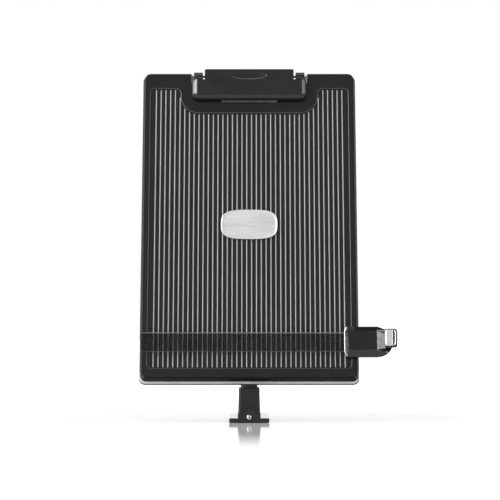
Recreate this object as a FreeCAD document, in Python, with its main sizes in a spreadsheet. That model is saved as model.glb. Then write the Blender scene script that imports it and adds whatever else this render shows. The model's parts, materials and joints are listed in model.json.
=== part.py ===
"""A copy holder: a ribbed board on a short post, with a clip at the top and a line guide that slides.

Every size is in millimetres. The post's axis is Z, the board faces -Y, and the foot rests on Z = 0.
The board's pieces are drawn in the board's own frame: x to the right, y up the board from the
bottom edge of its face, z out of the face towards the reader. That frame leans back with the board.
"""
import FreeCAD, Part
import math
import os
import re
import Sketcher

V = FreeCAD.Vector
TINY = 1e-4

SIZES = {
    # board
    "lean": (18, "lean of the board from the vertical, in degrees"),
    "face_width": (230, "flat front face of the board, side to side"),
    "face_height": (350, "flat front face of the board, bottom to top"),
    "board_depth": (13, "front face to rear rim"),
    "flare": (2.5, "how far the side walls spread by the rear rim"),
    "side_wall": (2.5, "side wall of the front panel"),
    "face_wall": (2.8, "face of the front panel"),
    "corner_round": (6.5, "corners of the board"),
    "edge_round": (1.2, "front edge of the board"),
    "notch_gap": (0.6, "cut in the top edge, past each side of the clip lever"),
    "notch_depth": (11, "depth of that cut"),
    "notch_round": (1.8, "upper corners of that cut"),
    "cover_thick": (2, "rear cover"),
    "cover_gap": (0.3, "gap round the rear cover"),
    # ribbed field on the face
    "field_side": (6, "border at each side of the ribbed field"),
    "field_bottom": (10.9, "border below the field"),
    "field_top": (17.4, "border above the field"),
    "field_depth": (1.0, "how far the field is sunk"),
    "field_round": (4, "outer corners of the field"),
    "tab_width": (151, "plain tab under the clip"),
    "tab_drop": (46.5, "bottom of that tab below the top edge"),
    "tab_round": (20, "lower corners of that tab"),
    "tab_flow": (6, "where the tab runs into the top border"),
    "rib_count": (40, "ribs across the field"),
    "rib_pitch": (5.246, "rib to rib"),
    "rib_radius": (0.8, "half round rib"),
    "rib_gap": (2, "upper ends of the ribs below the border"),
    "rib_foot": (1.2, "lower ends of the ribs above the border"),
    "field_edge": (0.5, "rounded edge of the border round the field"),
    # badge
    "badge_width": (61.6, "badge at the middle of its height"),
    "badge_height": (33.5, "badge at the middle of its width"),
    "badge_up": (173.2, "centre of the badge above the bottom edge"),
    "badge_bow": (3.2, "how far each side of the badge bows out"),
    "badge_thick": (1.0, "badge plate"),
    "badge_rim": (1.6, "width of the badge's rim"),
    "badge_rise": (0.6, "height of that rim"),
    "badge_seat_inset": (1.5, "the seat is smaller than the badge"),
    # screws of the rear cover and of the bracket
    "cover_screw_column": (96, "columns of cover screws from the middle"),
    "cover_screw_low": (28, "lowest row of cover screws"),
    "cover_screw_high": (322, "highest row of cover screws"),
    "screw_radius": (1.4, "shank of the small screws"),
    "screw_head_radius": (2.75, "head of the small screws"),
    "screw_head": (1.6, "height of that head"),
    "screw_grip": (6, "shank of the small screws below what it holds"),
    "hole_gap": (0.1, "gap round a screw's shank"),
    "boss_radius": (3.6, "bosses inside the front panel"),
    "bracket_screw_column": (12, "columns of bracket screws from the middle"),
    "bracket_screw_low": (24, "lower row of bracket screws"),
    "bracket_screw_high": (40, "upper row of bracket screws"),
    # tilt hinge behind the board
    "tilt_height": (48.4, "tilt axis above the table"),
    "tilt_up": (8, "tilt axis up the board"),
    "tilt_behind": (23.5, "tilt axis behind the face"),
    "bracket_width": (36, "bracket plate"),
    "bracket_bottom": (1, "lower end of the bracket plate"),
    "bracket_top": (48, "upper end of the bracket plate"),
    "bracket_thick": (2, "bracket plate"),
    "ear_thick": (2.5, "ears of the bracket"),
    "ear_radius": (7, "round end of the ears and of the lug"),
    "lug_half": (6, "half the width of the neck's lug"),
    "washer_thick": (0.5, "friction washers"),
    "washer_radius": (5.5, "friction washers"),
    "bolt_radius": (2.45, "tilt bolt"),
    "bolt_gap": (0.05, "running gap round the bolt"),
    "bolt_head_radius": (4.3, "round head of the bolt"),
    "bolt_head": (3, "height of that head"),
    "nut_across": (8, "nut, across its flats"),
    "nut_thick": (4, "nut"),
    # neck, post and foot
    "neck_radius": (9.05, "flange of the swivel neck"),
    "neck_flange": (2.5, "height of that flange"),
    "swivel_washer": (0.5, "washer under the flange"),
    "spigot_radius": (6, "spigot inside the post"),
    "spigot_gap": (0.05, "running gap round the spigot"),
    "spigot_length": (14, "spigot below the post's top"),
    "groove_radius": (4.6, "groove round the spigot"),
    "groove_low": (8.6, "bottom of the groove below the post's top"),
    "groove_height": (4.2, "groove"),
    "grub_radius": (1.9, "grub screw in the groove"),
    "post_top": (37.6, "top of the post above the table"),
    "post_top_width": (22.2, "post at its top"),
    "post_bottom_width": (23.3, "post at the top of its base"),
    "post_chamfer": (2, "upright edges of the post"),
    "post_top_round": (1.2, "top edge of the post"),
    "tenon_half": (8, "half the width of the post's tenon"),
    "tenon_gap": (0.1, "gap round the tenon"),
    "tenon_bottom": (1.4, "lower end of the tenon above the table"),
    "base_width": (24.3, "block that holds the post"),
    "base_top": (9.7, "top of that block"),
    "base_front": (15.6, "front of that block before the post's axis"),
    "base_back": (21, "back of that block behind the post's axis"),
    "skirt_thick": (1.45, "the block's skirt before the foot"),
    "skirt_bottom": (0.6, "lower edge of that skirt"),
    "hump_radius": (9, "round hump about the front screw"),
    "hump_thick": (3.4, "front to back of that hump"),
    "front_screw_height": (6.1, "front screw above the table"),
    "front_screw_radius": (1.1, "shank of the front screw"),
    "front_screw_head": (2.75, "radius of its head"),
    "front_screw_head_high": (1.9, "height of its head"),
    "front_screw_length": (12, "shank of the front screw"),
    "foot_width": (43.1, "foot plate"),
    "foot_front": (14, "front of the foot before the post's axis"),
    "foot_length": (110, "foot plate, front to back"),
    "foot_top": (4.9, "top of the foot above the table"),
    "foot_corner": (5, "rear corners of the foot"),
    "foot_front_corner": (1.5, "front corners of the foot"),
    "foot_edge": (0.8, "top edge of the foot"),
    "pad_thick": (1, "rubber pad under the foot"),
    "pad_inset": (0.7, "pad inside the foot's outline"),
    "base_screw_side": (8.6, "front base screws from the middle"),
    "base_screw_front": (11, "front base screws before the axis"),
    "base_screw_back": (15.5, "rear base screw behind the axis"),
    "base_screw_radius": (1.2, "shank of the base screws"),
    "base_screw_head": (2.2, "radius of their heads"),
    "base_screw_sink": (1.5, "height of their heads"),
    "base_screw_grip": (3.4, "shank inside the block"),
    # clip
    "clip_drop": (6, "clip axis below the top of the face"),
    "clip_rise": (5.5, "clip axis above the face"),
    "rod_radius": (1.25, "hinge rod"),
    "rod_gap": (0.05, "running gap round the rod"),
    "knuckle_inset": (2, "outer face of each knuckle inside the lever's side"),
    "knuckle_width": (10, "knuckle"),
    "knuckle_radius": (4.75, "knuckle"),
    "clip_plate": (1.2, "clip base plate"),
    "plate_inset": (4, "sides of the clip base plate inside the lever's sides"),
    "plate_end_drop": (12, "upper edge of that plate below the top of the face"),
    "clip_plate_drop": (25, "lower edge of that plate below the top of the face"),
    "rivet_side": (40, "rivets from the middle"),
    "rivet_drop": (20, "rivets below the top of the face"),
    "rivet_radius": (1.6, "rivets"),
    "rivet_head": (3, "radius of their heads"),
    "rivet_head_high": (0.9, "height of their heads"),
    "lever_width": (126, "clip lever"),
    "lever_drop": (32.5, "lip of the lever below the top of the face"),
    "shoulder_drop": (10.4, "shoulder of the lever below the top of the face"),
    "lever_top": (9.5, "front of the lever above the face"),
    "lever_bottom": (1.8, "edges of the lever above the face"),
    "lever_wall": (1.5, "lever"),
    "lever_roll": (6.8, "rolled edges of the lever"),
    "finger_gap": (2, "sides of the finger tab inside the knuckles"),
    "finger_root": (9, "finger tab let down behind the lever's shoulder"),
    "finger_reach": (1.6, "finger tab above the top of the face"),
    "dish_half_width": (19.6, "half the width of the dish for a finger in that tab"),
    "dish_half_height": (4.7, "half the height of that dish"),
    "dish_deep": (1, "depth of that dish"),
    "lug_in": (4.5, "outer face of the lever's lugs inside the knuckles"),
    "lug_width": (2.5, "lever's lugs"),
    "lug_radius": (2.9, "lever's lugs"),
    "grip_width": (61, "grip pad under the lip"),
    "grip_depth": (4, "grip pad, up the board"),
    "grip_peek": (1.6, "grip pad below the lip"),
    "grip_gap": (0.05, "grip pad above the face"),
    "sleeve_half": (16.5, "half the length of the rod's sleeve"),
    "sleeve_radius": (2.3, "rod's sleeve"),
    "coil_start": (19, "inner end of each clip spring"),
    "coil_radius": (1.95, "clip spring, to the middle of its wire"),
    "coil_wire": (0.4, "radius of that wire"),
    "coil_pitch": (1.9, "clip spring, turn to turn"),
    "coil_turns": (4, "whole turns of each clip spring"),
    "coil_fixed_angle": (14, "slope of the leg on the base plate, in degrees"),
    "coil_free_angle": (60, "slope of the leg under the finger tab, in degrees"),
    "coil_fixed_leg": (8, "leg on the base plate"),
    "coil_free_leg": (3.7, "leg under the finger tab"),
    "leg_slot_half": (2, "half the width of each slot for a leg in the lever's upper wall"),
    "leg_slot_high": (1.4, "height of that slot"),
    "knuckle_gap": (0.4, "gap beside each knuckle in the lever's upper wall"),
    # line guide
    "guide_up": (39, "middle of the guide above the bottom edge"),
    "blade_half": (10.4, "half the height of the blade"),
    "blade_lift": (2.3, "blade above the face"),
    "blade_thick": (1.6, "blade"),
    "bead_rise": (0.8, "bead along the blade's upper edge"),
    "bead_width": (1.2, "bead along the blade's upper edge"),
    "line_rise": (0.3, "reading line along the lower part of the blade"),
    "line_low": (5.4, "reading line above the blade's lower edge"),
    "line_width": (0.9, "reading line"),
    "blade_overhang": (0.3, "blade past the left edge of the face"),
    "blade_end": (4.5, "blade's right end inside the rim"),
    "blade_screw_in": (8.6, "blade screws inside the rim"),
    "blade_screw_side": (7.1, "blade screws from the guide's middle"),
    "blade_screw_radius": (1.2, "blade screws"),
    "blade_screw_head": (1.9, "radius of their heads"),
    "blade_screw_head_high": (1.1, "height of their heads"),
    # slider at the right edge
    "slider_gap": (0.35, "running gap between slider and board"),
    "edge_gap": (0.7, "gap between slider and rim"),
    "slider_plate": (1.65, "slider before the face"),
    "jaw_thick": (2.6, "slider behind the rim"),
    "body_lap": (14.5, "slider body inside the rim"),
    "body_half": (16.3, "half the height of the slider body at its front"),
    "body_back_half": (11.5, "half the height of the slider body at its back"),
    "body_corner": (3, "left corners of the slider body"),
    "body_reach": (19.6, "middle of the body's round end outside the rim"),
    "cap_lap": (16, "slider cap inside the rim"),
    "cap_half": (16.8, "half the height of the slider cap"),
    "cap_corner": (3.4, "left corners of the slider cap"),
    "cap_shoulder": (19.5, "where the cap starts to narrow outside the rim"),
    "cap_reach": (30, "right end of the cap outside the rim"),
    "cap_end_half": (12.5, "half the height of the cap's right end"),
    "cap_skirt": (2.5, "upright part of the cap"),
    "cap_top": (10.5, "front of the cap above the face"),
    "cap_face_lap": (12.2, "flat face of the cap inside the rim"),
    "cap_face_reach": (18.2, "flat face of the cap outside the rim"),
    "cap_face_half": (10.5, "half the height of that flat face"),
    "cap_face_corner": (0.8, "corners of that flat face"),
    "cap_wall": (1.8, "wall of the cap"),
    "cavity_start": (3.5, "cavity for the brake outside the rim"),
    "cavity_reach": (29.5, "right end of that cavity outside the rim"),
    "cavity_half": (6.3, "half the height of that cavity"),
    "cavity_floor": (11, "floor of that cavity behind the face"),
    "window_low": (7.6, "bottom of the brake's window behind the face"),
    "window_high": (0.4, "top of that window behind the face"),
    "slider_screw_out": (8.5, "slider screws outside the rim"),
    "slider_screw_side": (8.8, "slider screws from the guide's middle"),
    "slider_screw_radius": (1.1, "slider screws"),
    "slider_screw_head": (2, "radius of their heads"),
    "cap_boss": (2.5, "bosses inside the cap"),
    # brake lever, its pin, shoe and spring
    "pin_out": (16, "brake lever's pin outside the rim"),
    "pin_deep": (8, "brake lever's pin behind the face"),
    "pin_radius": (1.2, "brake lever's pin"),
    "pin_gap": (0.05, "running gap round that pin"),
    "pin_half": (9, "half the length of that pin"),
    "arm_half": (5.5, "half the height of the lever's arm"),
    "arm_start": (5.2, "inner end of the arm outside the rim"),
    "thumb_half": (9.9, "half the height of the thumb piece"),
    "thumb_up": (1.2, "middle of the thumb piece above the guide's middle"),
    "thumb_start": (27.1, "left side of the thumb piece outside the rim"),
    "thumb_reach": (39.6, "right side of the thumb piece outside the rim"),
    "thumb_top": (15.4, "front of the thumb piece above the face"),
    "thumb_thick": (3.2, "thumb piece"),
    "thumb_round": (1, "front edges of the thumb piece"),
    "thumb_corner": (2.2, "right corners of the thumb piece"),
    "neck_start": (18.6, "left end of the lever's neck outside the rim"),
    "neck_half": (10.1, "half the height of that neck at its left end"),
    "neck_end_half": (8, "half the height of that neck at its right end"),
    "shoe_gap": (0.2, "brake shoe from the side wall"),
    "shoe_low": (7, "bottom of the shoe behind the face"),
    "shoe_high": (3, "top of the shoe behind the face"),
    "shoe_half": (5, "half the height of the shoe"),
    "press_out": (25.8, "lever spring outside the rim"),
    "press_radius": (1.9, "lever spring, to the middle of its wire"),
    "press_wire": (0.35, "radius of that wire"),
    "press_pitch": (2.3, "lever spring, turn to turn"),
    "press_turns": (6, "whole turns of the lever spring"),
    "press_rest": (0.05, "lever spring above the cavity's floor"),
    # side view of the brake lever
    "neck_drop": (0.1, "left end of the neck below the cap's flat face"),
    "neck_fall": (1.6, "right end of the neck below the cap's flat face"),
    "neck_thick": (5.2, "bottom of the neck below the cap's flat face"),
    "thumb_step": (0.9, "right end of the neck before the thumb piece"),
    "thumb_lean": (0.4, "left edge of the thumb piece below its right edge"),
    "thumb_root": (2.6, "back of the thumb piece starts this far from its left side"),
    "root_deep": (0.8, "and this far below its back"),
    "stem_reach": (1.4, "right side of the stem past the thumb piece's left side"),
    "stem_web": (1.3, "stem below the neck at its right side"),
    "stem_lap": (0.2, "stem let into the neck"),
    "knee_in": (3.6, "knee of the stem inside the thumb piece's left side"),
    "knee_drop": (2.3, "knee of the stem below the neck"),
    "eye_radius": (2.6, "eye round the pin"),
    "arm_lip": (0.5, "arm past the shoe at its front and back"),
    # drawing aids
    "recess_reach": (0.6, "arm of a cross recess, as a share of its screw head's radius"),
    "recess_half": (0.15, "half the width of that arm, as the same share"),
    "cut_past": (1, "how far an open cut runs past what it cuts"),
}

BOARD_Y = "(0 - tilt_up * sin(lean) - tilt_behind * cos(lean))"
BOARD_Z = "(tilt_height - tilt_up * cos(lean) + tilt_behind * sin(lean))"
BOARD = f"placement(vector(0; {BOARD_Y}; {BOARD_Z}); rotation(vector(1; 0; 0); 90 - lean))"
HALF = "(face_width / 2)"
RIM = "(face_width / 2 + flare)"
WALL_SLOPE = "atan(flare / board_depth)"
CLIP_Y = "(face_height - clip_drop)"
AROUND = ((-1, -1), (1, -1), (1, 1), (-1, 1))
NOTCH = "(lever_width / 2 + notch_gap)"
KNUCKLE = "(lever_width / 2 - knuckle_inset - knuckle_width)"
FINGER = f"({KNUCKLE} - finger_gap)"
BODY_TOP = "(slider_gap + slider_plate)"
BODY_BACK = "(board_depth + slider_gap + jaw_thick)"
BACK_SLOPE = f"(-1 * atan((body_half - body_back_half) / ({BODY_TOP} + {BODY_BACK})))"
ROLES = {"xy": "XY_Plane", "xz": "XZ_Plane", "yz": "YZ_Plane"}
TURNS = {
    "x": FreeCAD.Rotation(V(0, 1, 0), 90),
    "y": FreeCAD.Rotation(V(1, 0, 0), -90),
    "z": FreeCAD.Rotation(),
}

doc = FreeCAD.newDocument("copy_holder")
sheet = doc.addObject("Spreadsheet::Sheet", "sizes")
for row, (alias, (number, note)) in enumerate(SIZES.items(), start=1):
    sheet.set(f"A{row}", note)
    sheet.set(f"B{row}", str(number))
    sheet.setAlias(f"B{row}", alias)
doc.recompute()
nodes = []


def formula(text):
    """Write the sheet's name before each of its aliases."""
    return re.sub(r"[a-z][a-z_]*", lambda word: "sizes." * (word[0] in SIZES) + word[0], str(text))


def value(text):
    """The number that a formula gives."""
    return float(sheet.evalExpression(formula(text)))


def bind(feature, **sizes):
    """Tie properties of a feature to formulas."""
    for name, text in sizes.items():
        feature.setExpression(name, formula(text))


def new_body(name, frame=None):
    """An empty body in the board's frame or in the post's."""
    body = doc.addObject("PartDesign::Body", name)
    body.Label = name
    if frame:
        body.setExpression("Placement", formula(frame))
    nodes.append(body)
    return body


def drawing(body, level="0", plane="xy"):
    """A sketch on one of the body's own planes, moved along its normal to a level."""
    made = body.newObject("Sketcher::SketchObject", body.Name + "_sketch")
    support = [item for item in body.Origin.OriginFeatures if item.Role == ROLES[plane]][0]
    made.AttachmentSupport = [(support, "")]
    made.MapMode = "FlatFace"
    made.setExpression("AttachmentOffset.Base.z", formula(level))
    return made


def fix(sketch, kind, edge, end, text):
    """Hold a point at a distance from the sketch's origin."""
    number = sketch.addConstraint(Sketcher.Constraint(kind, -1, 1, edge, end, value(text)))
    sketch.setExpression(f"Constraints[{number}]", formula(text))


def polygon(sketch, corners):
    """A closed outline through corners given as pairs of formulas."""
    spots = [V(value(x), value(y), 0) for x, y in corners]
    first = sketch.GeometryCount
    count = len(corners)
    for start, end in zip(spots, spots[1:] + spots[:1]):
        sketch.addGeometry(Part.LineSegment(start, end), False)
    for number, (x, y) in enumerate(corners):
        edge = first + number
        sketch.addConstraint(Sketcher.Constraint("Coincident", edge, 2, first + (number + 1) % count, 1))
        fix(sketch, "DistanceX", edge, 1, x)
        fix(sketch, "DistanceY", edge, 1, y)
    return sketch


def circles(sketch, spots, radius):
    """Equal circles at places given as pairs of formulas."""
    for x, y in spots:
        edge = sketch.addGeometry(Part.Circle(V(value(x), value(y), 0), V(0, 0, 1), value(radius)), False)
        fix(sketch, "DistanceX", edge, 3, x)
        fix(sketch, "DistanceY", edge, 3, y)
        number = sketch.addConstraint(Sketcher.Constraint("Radius", edge, value(radius)))
        sketch.setExpression(f"Constraints[{number}]", formula(radius))
    return sketch


def pad(body, sketch, length, up=True, slope=None):
    """Raise a sketch, along its plane's normal if up."""
    feature = body.newObject("PartDesign::Pad", body.Name + "_pad")
    feature.Profile = sketch
    feature.Reversed = not up
    bind(feature, Length=length)
    if slope:
        bind(feature, TaperAngle=slope)
    doc.recompute()
    return feature


def pocket(body, sketch, length, up=False, slope=None):
    """Cut a sketch out of the body, along its plane's normal if up."""
    before = body.Tip.Shape.Volume
    feature = body.newObject("PartDesign::Pocket", body.Name + "_pocket")
    feature.Profile = sketch
    feature.Reversed = up
    bind(feature, Length=length)
    if slope:
        bind(feature, TaperAngle=slope)
    doc.recompute()
    if feature.Shape.Volume > before - TINY:
        raise RuntimeError(f"a pocket of {body.Label} cuts nothing")
    return feature


def block(body, x, y, z, cut=False):
    """A box between two formulas on each axis, added or cut."""
    kind = "Subtractive" if cut else "Additive"
    feature = body.newObject(f"PartDesign::{kind}Box", body.Name + "_box")
    for size, axis, (low, high) in zip(("Length", "Width", "Height"), "xyz", (x, y, z)):
        feature.setExpression(size, formula(f"({high}) - ({low})"))
        feature.setExpression("Placement.Base." + axis, formula(low))
    doc.recompute()
    return feature


def drum(body, radius, length, at, along="z", cut=False):
    """A cylinder that starts at a place and runs along an axis, added or cut."""
    kind = "Subtractive" if cut else "Additive"
    feature = body.newObject(f"PartDesign::{kind}Cylinder", body.Name + "_drum")
    feature.Placement = FreeCAD.Placement(V(), TURNS[along])
    bind(feature, Radius=radius, Height=length)
    for axis, text in zip("xyz", at):
        feature.setExpression("Placement.Base." + axis, formula(text))
    doc.recompute()
    return feature


def finish_edges(body, kind, size, wanted):
    """Fillet or chamfer the edges that a test picks."""
    base = body.Tip
    names = [f"Edge{number}" for number, edge in enumerate(base.Shape.Edges, start=1) if wanted(edge)]
    if not names:
        raise RuntimeError(f"no edge of {body.Label} to finish")
    feature = body.newObject("PartDesign::" + kind, body.Name + "_edges")
    feature.Base = (base, names)
    bind(feature, **{"Radius" if kind == "Fillet" else "Size": size})
    doc.recompute()
    return feature


def runs_along(edge, axis):
    """True for an edge whose ends differ mostly along one axis."""
    if len(edge.Vertexes) < 2:
        return False
    step = edge.Vertexes[-1].Point - edge.Vertexes[0].Point
    return step.Length > TINY and abs(getattr(step, axis)) > 0.9 * step.Length


def upright_near(spots, reach):
    """A test for upright edges near any of some places in plan."""
    places = [V(value(x), value(y), 0) for x, y in spots]

    def wanted(edge):
        middle = edge.CenterOfMass
        near = [place for place in places if math.hypot(middle.x - place.x, middle.y - place.y) < reach]
        return runs_along(edge, "z") and bool(near)

    return wanted


def at_level(axis, text):
    """A test for edges that lie wholly at one level of an axis."""
    level = value(text)
    return lambda edge: all(abs(getattr(item.Point, axis) - level) < 0.01 for item in edge.Vertexes)


def both_sides(x, y):
    """A place and its mirror image."""
    return [(f"0 - ({x})", y), (x, y)]


def board_outline(inset, spread):
    """The board's outline with its notch, drawn in by an inset after the walls have spread."""
    side = f"({HALF} + {spread} - {inset})"
    top = f"(face_height + {spread} - {inset})"
    bottom = f"({inset} - {spread})"
    cheek = f"({NOTCH} - {spread} + {inset})"
    floor = f"(face_height - notch_depth + {spread} - {inset})"
    right = [(side, bottom), (side, top), (cheek, top), (cheek, floor)]
    return right + [(f"0 - {x}", y) for x, y in reversed(right)]


def outer_corners(inset, spread):
    """The four outer corners of that outline."""
    corners = board_outline(inset, spread)
    return [corners[0], corners[1], corners[-2], corners[-1]]


COVER_SPOTS = [
    spot
    for y in ("cover_screw_low", "(cover_screw_low + cover_screw_high) / 2", "cover_screw_high")
    for spot in both_sides("cover_screw_column", y)
]
BRACKET_SPOTS = both_sides("bracket_screw_column", "bracket_screw_low")
BRACKET_SPOTS += both_sides("bracket_screw_column", "bracket_screw_high")
RIVET_SPOTS = both_sides("rivet_side", "face_height - rivet_drop")
HOLE = "(screw_radius + hole_gap)"


def badge_outline(sketch, inset):
    """Four bowed sides between four corners: a barrel."""
    half_x = f"(badge_width / 2 - badge_bow - {inset})"
    half_y = f"(badge_height / 2 - badge_bow - {inset})"
    bow_x = f"(badge_width / 2 - {inset})"
    bow_y = f"(badge_height / 2 - {inset})"
    middle = value("badge_up")
    corners = [V(sx * value(half_x), middle + sy * value(half_y), 0) for sx, sy in AROUND]
    crowns = [V(0, middle - value(bow_y), 0), V(value(bow_x), middle, 0)]
    crowns += [V(0, middle + value(bow_y), 0), V(-value(bow_x), middle, 0)]
    for start, crown, end in zip(corners, crowns, corners[1:] + corners[:1]):
        sketch.addGeometry(Part.Arc(start, crown, end), False)
    return sketch


def front_panel():
    """The board's front shell: ribbed face, flared walls, bosses inside."""
    body = new_body("front_panel", BOARD)
    pad(body, polygon(drawing(body), board_outline("0", "0")), "board_depth", up=False, slope=WALL_SLOPE)
    inner = polygon(drawing(body, "0 - board_depth"), board_outline("side_wall", "flare"))
    pocket(body, inner, "board_depth - face_wall", up=True, slope=f"-1 * {WALL_SLOPE}")
    rounds = upright_near(outer_corners("side_wall", "flare / 2"), 1)
    finish_edges(body, "Fillet", "corner_round - side_wall", rounds)
    finish_edges(body, "Fillet", "corner_round", upright_near(outer_corners("0", "flare / 2"), 1))
    mouth = both_sides(f"{NOTCH} - flare / 2", "face_height + flare / 2")
    finish_edges(body, "Fillet", "notch_round", upright_near(mouth, 1))
    finish_edges(body, "Fillet", "edge_round", at_level("z", "0"))
    sink_field(body)
    bosses = drawing(body, "0 - board_depth + cover_thick")
    circles(bosses, COVER_SPOTS + BRACKET_SPOTS, "boss_radius")
    pad(body, bosses, "board_depth - cover_thick - face_wall / 2")
    holes = circles(drawing(body, "0 - board_depth + cover_thick"), COVER_SPOTS + BRACKET_SPOTS, HOLE)
    pocket(body, holes, "screw_grip + hole_gap", up=True)
    ribs(body)
    rivets = circles(drawing(body), RIVET_SPOTS, "rivet_radius + hole_gap")
    pocket(body, rivets, "board_depth / 2")


def sink_field(body):
    """The sunk field with the plain tab left standing under the clip, and the badge's seat."""
    side = f"({HALF} - field_side)"
    top = "(face_height - field_top)"
    tab_y = "(face_height - tab_drop)"
    right = [(side, "field_bottom"), (side, top), ("tab_width / 2", top), ("tab_width / 2", tab_y)]
    outline = right + [(f"0 - {x}", y) for x, y in reversed(right)]
    pocket(body, polygon(drawing(body), outline), "field_depth")
    outer = both_sides(side, "field_bottom") + both_sides(side, top)
    finish_edges(body, "Fillet", "field_round", upright_near(outer, 1))
    finish_edges(body, "Fillet", "tab_flow", upright_near(both_sides("tab_width / 2", top), 1))
    finish_edges(body, "Fillet", "tab_round", upright_near(both_sides("tab_width / 2", tab_y), 1))
    flush, reach = at_level("z", "0"), value(side) + TINY
    low, high = value("field_bottom") - TINY, value(top) + TINY
    finish_edges(body, "Fillet", "field_edge", lambda edge: flush(edge) and all(
        abs(item.Point.x) < reach and low < item.Point.y < high for item in edge.Vertexes))
    seat = badge_outline(drawing(body, "0 - field_depth - face_wall / 4"), "badge_seat_inset")
    pad(body, seat, "field_depth + face_wall / 4")


def ribs(body):
    """Half round ribs up the field, each ending short of the border above it."""
    tab = "face_height - tab_drop"
    half = int(value("rib_count / 2"))
    flat = math.floor(value("(tab_width / 2 - tab_round) / rib_pitch + 0.5"))
    clear = math.floor(value("(tab_width / 2 + rib_gap) / rib_pitch + 0.5"))
    rib_row(body, f"(0 - rib_pitch * ({flat} - 0.5))", 2 * flat, f"{tab} - rib_gap")
    for start in (f"(0 - rib_pitch * ({half} - 0.5))", f"(rib_pitch * ({clear} + 0.5))"):
        rib_row(body, start, half - clear, "face_height - field_top - rib_gap")
    for number in range(flat, clear):
        place = f"(rib_pitch * ({number} + 0.5))"
        aside = f"min({place} - tab_width / 2 + tab_round; tab_round)"
        arc = f"{tab} + tab_round - sqrt(tab_round ^ 2 - {aside} ^ 2) - rib_gap"
        for x in (place, f"(0 - {place})"):
            one_rib(body, x, arc)


def one_rib(body, x, top):
    """A rib from above the bottom border up to one level."""
    low = "(field_bottom + rib_foot)"
    return drum(body, "rib_radius", f"{top} - {low}", (x, low, "0 - field_depth"), "y")


def rib_row(body, start, count, top):
    """Equal ribs side by side."""
    rib = one_rib(body, start, top)
    row = body.newObject("PartDesign::LinearPattern", "rib_row")
    row.Originals = [rib]
    row.Direction = ([item for item in body.Origin.OriginFeatures if item.Role == "X_Axis"][0], [""])
    bind(row, Length=f"rib_pitch * ({count} - 1)", Occurrences=count)
    body.Tip = row
    doc.recompute()


def rear_cover():
    """The plate that closes the board's back."""
    body = new_body("rear_cover", BOARD)
    inset = "(side_wall + cover_gap)"
    spread = "(flare * (board_depth - cover_thick) / board_depth)"
    pad(body, polygon(drawing(body, "0 - board_depth"), board_outline(inset, spread)), "cover_thick")
    rounds = upright_near(outer_corners(inset, spread), 1)
    finish_edges(body, "Fillet", "corner_round - side_wall", rounds)
    holes = circles(drawing(body, "0 - board_depth"), COVER_SPOTS + BRACKET_SPOTS, HOLE)
    pocket(body, holes, "cover_thick", up=True)


def screws(name, spots, frame, seat, grip, head_up=False, radius="screw_radius", head="screw_head_radius",
           head_high="screw_head"):
    """Equal pan head screws whose heads sit at a level, pointing away from their heads."""
    body = new_body(name, frame)
    pad(body, circles(drawing(body, seat), spots, head), head_high, up=head_up)
    shanks = circles(drawing(body, seat), spots, radius)
    pad(body, shanks, grip, up=not head_up)
    top = f"{seat} + {head_high}" if head_up else f"{seat} - {head_high}"
    slots = drawing(body, top)
    for x, y in spots:
        cross_recess(slots, x, y, f"({head} * recess_reach)", f"({head} * recess_half)")
    pocket(body, slots, f"{head_high} / 2", up=not head_up)
    return body


def cross_recess(sketch, x, y, arm, half):
    """A plus sign for a cross head driver."""
    turns = [(arm, half), (half, half), (half, arm)]
    corners = []
    for sx, sy in ((1, 1), (-1, 1), (-1, -1), (1, -1)):
        quarter = [(f"{x} + {sx} * {a}", f"{y} + {sy} * {b}") for a, b in turns]
        corners += quarter if sx == sy else quarter[::-1]
    polygon(sketch, corners)


def badge_plate():
    """A bare plate with a raised rim on the middle of the board."""
    body = new_body("badge_plate", BOARD)
    pad(body, badge_outline(drawing(body), "0"), "badge_thick + badge_rise")
    dish = badge_outline(drawing(body, "badge_thick + badge_rise"), "badge_rim")
    pocket(body, dish, "badge_rise")


def tilt_bracket():
    """A plate on the back of the board with two ears for the tilt bolt."""
    body = new_body("tilt_bracket", BOARD)
    back = "(0 - board_depth - bracket_thick)"
    ear = "(lug_half + washer_thick)"
    wide = ("0 - bracket_width / 2", "bracket_width / 2")
    block(body, wide, ("bracket_bottom", "bracket_top"), (back, "0 - board_depth"))
    for low in (ear, f"(0 - {ear} - ear_thick)"):
        span = (low, f"{low} + ear_thick")
        block(body, span, ("tilt_up - ear_radius", "tilt_up + ear_radius"),
              ("0 - tilt_behind", "0 - board_depth"))
        drum(body, "ear_radius", "ear_thick", (low, "tilt_up", "0 - tilt_behind"), "x")
    reach = f"(2 * {ear} + 2 * ear_thick)"
    drum(body, "bolt_radius + bolt_gap", reach, (f"0 - {reach} / 2", "tilt_up", "0 - tilt_behind"), "x",
         cut=True)
    pocket(body, circles(drawing(body, back), BRACKET_SPOTS, HOLE), "bracket_thick", up=True)
    finish_edges(body, "Fillet", "bracket_thick",
                 upright_near(both_sides("bracket_width / 2", "bracket_top"), 1))


def tilt_bolt():
    """The bolt through ears, washers and lug, with a round head at the left."""
    body = new_body("tilt_bolt", BOARD)
    outer = "(lug_half + washer_thick + ear_thick)"
    length = f"2 * {outer} + nut_thick"
    drum(body, "bolt_radius", length, (f"0 - {outer}", "tilt_up", "0 - tilt_behind"), "x")
    drum(body, "bolt_head_radius", "bolt_head",
         (f"0 - {outer} - bolt_head", "tilt_up", "0 - tilt_behind"), "x")


def tilt_nut():
    """A hexagon nut at the right."""
    body = new_body("tilt_nut", BOARD)
    sketch = drawing(body, "lug_half + washer_thick + ear_thick", "yz")
    around = [(f"tilt_up + nut_across / sqrt(3) * cos({angle})",
               f"nut_across / sqrt(3) * sin({angle}) - tilt_behind")
              for angle in range(0, 360, 60)]
    polygon(sketch, around)
    circles(sketch, [("tilt_up", "0 - tilt_behind")], "bolt_radius + bolt_gap")
    pad(body, sketch, "nut_thick")


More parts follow.
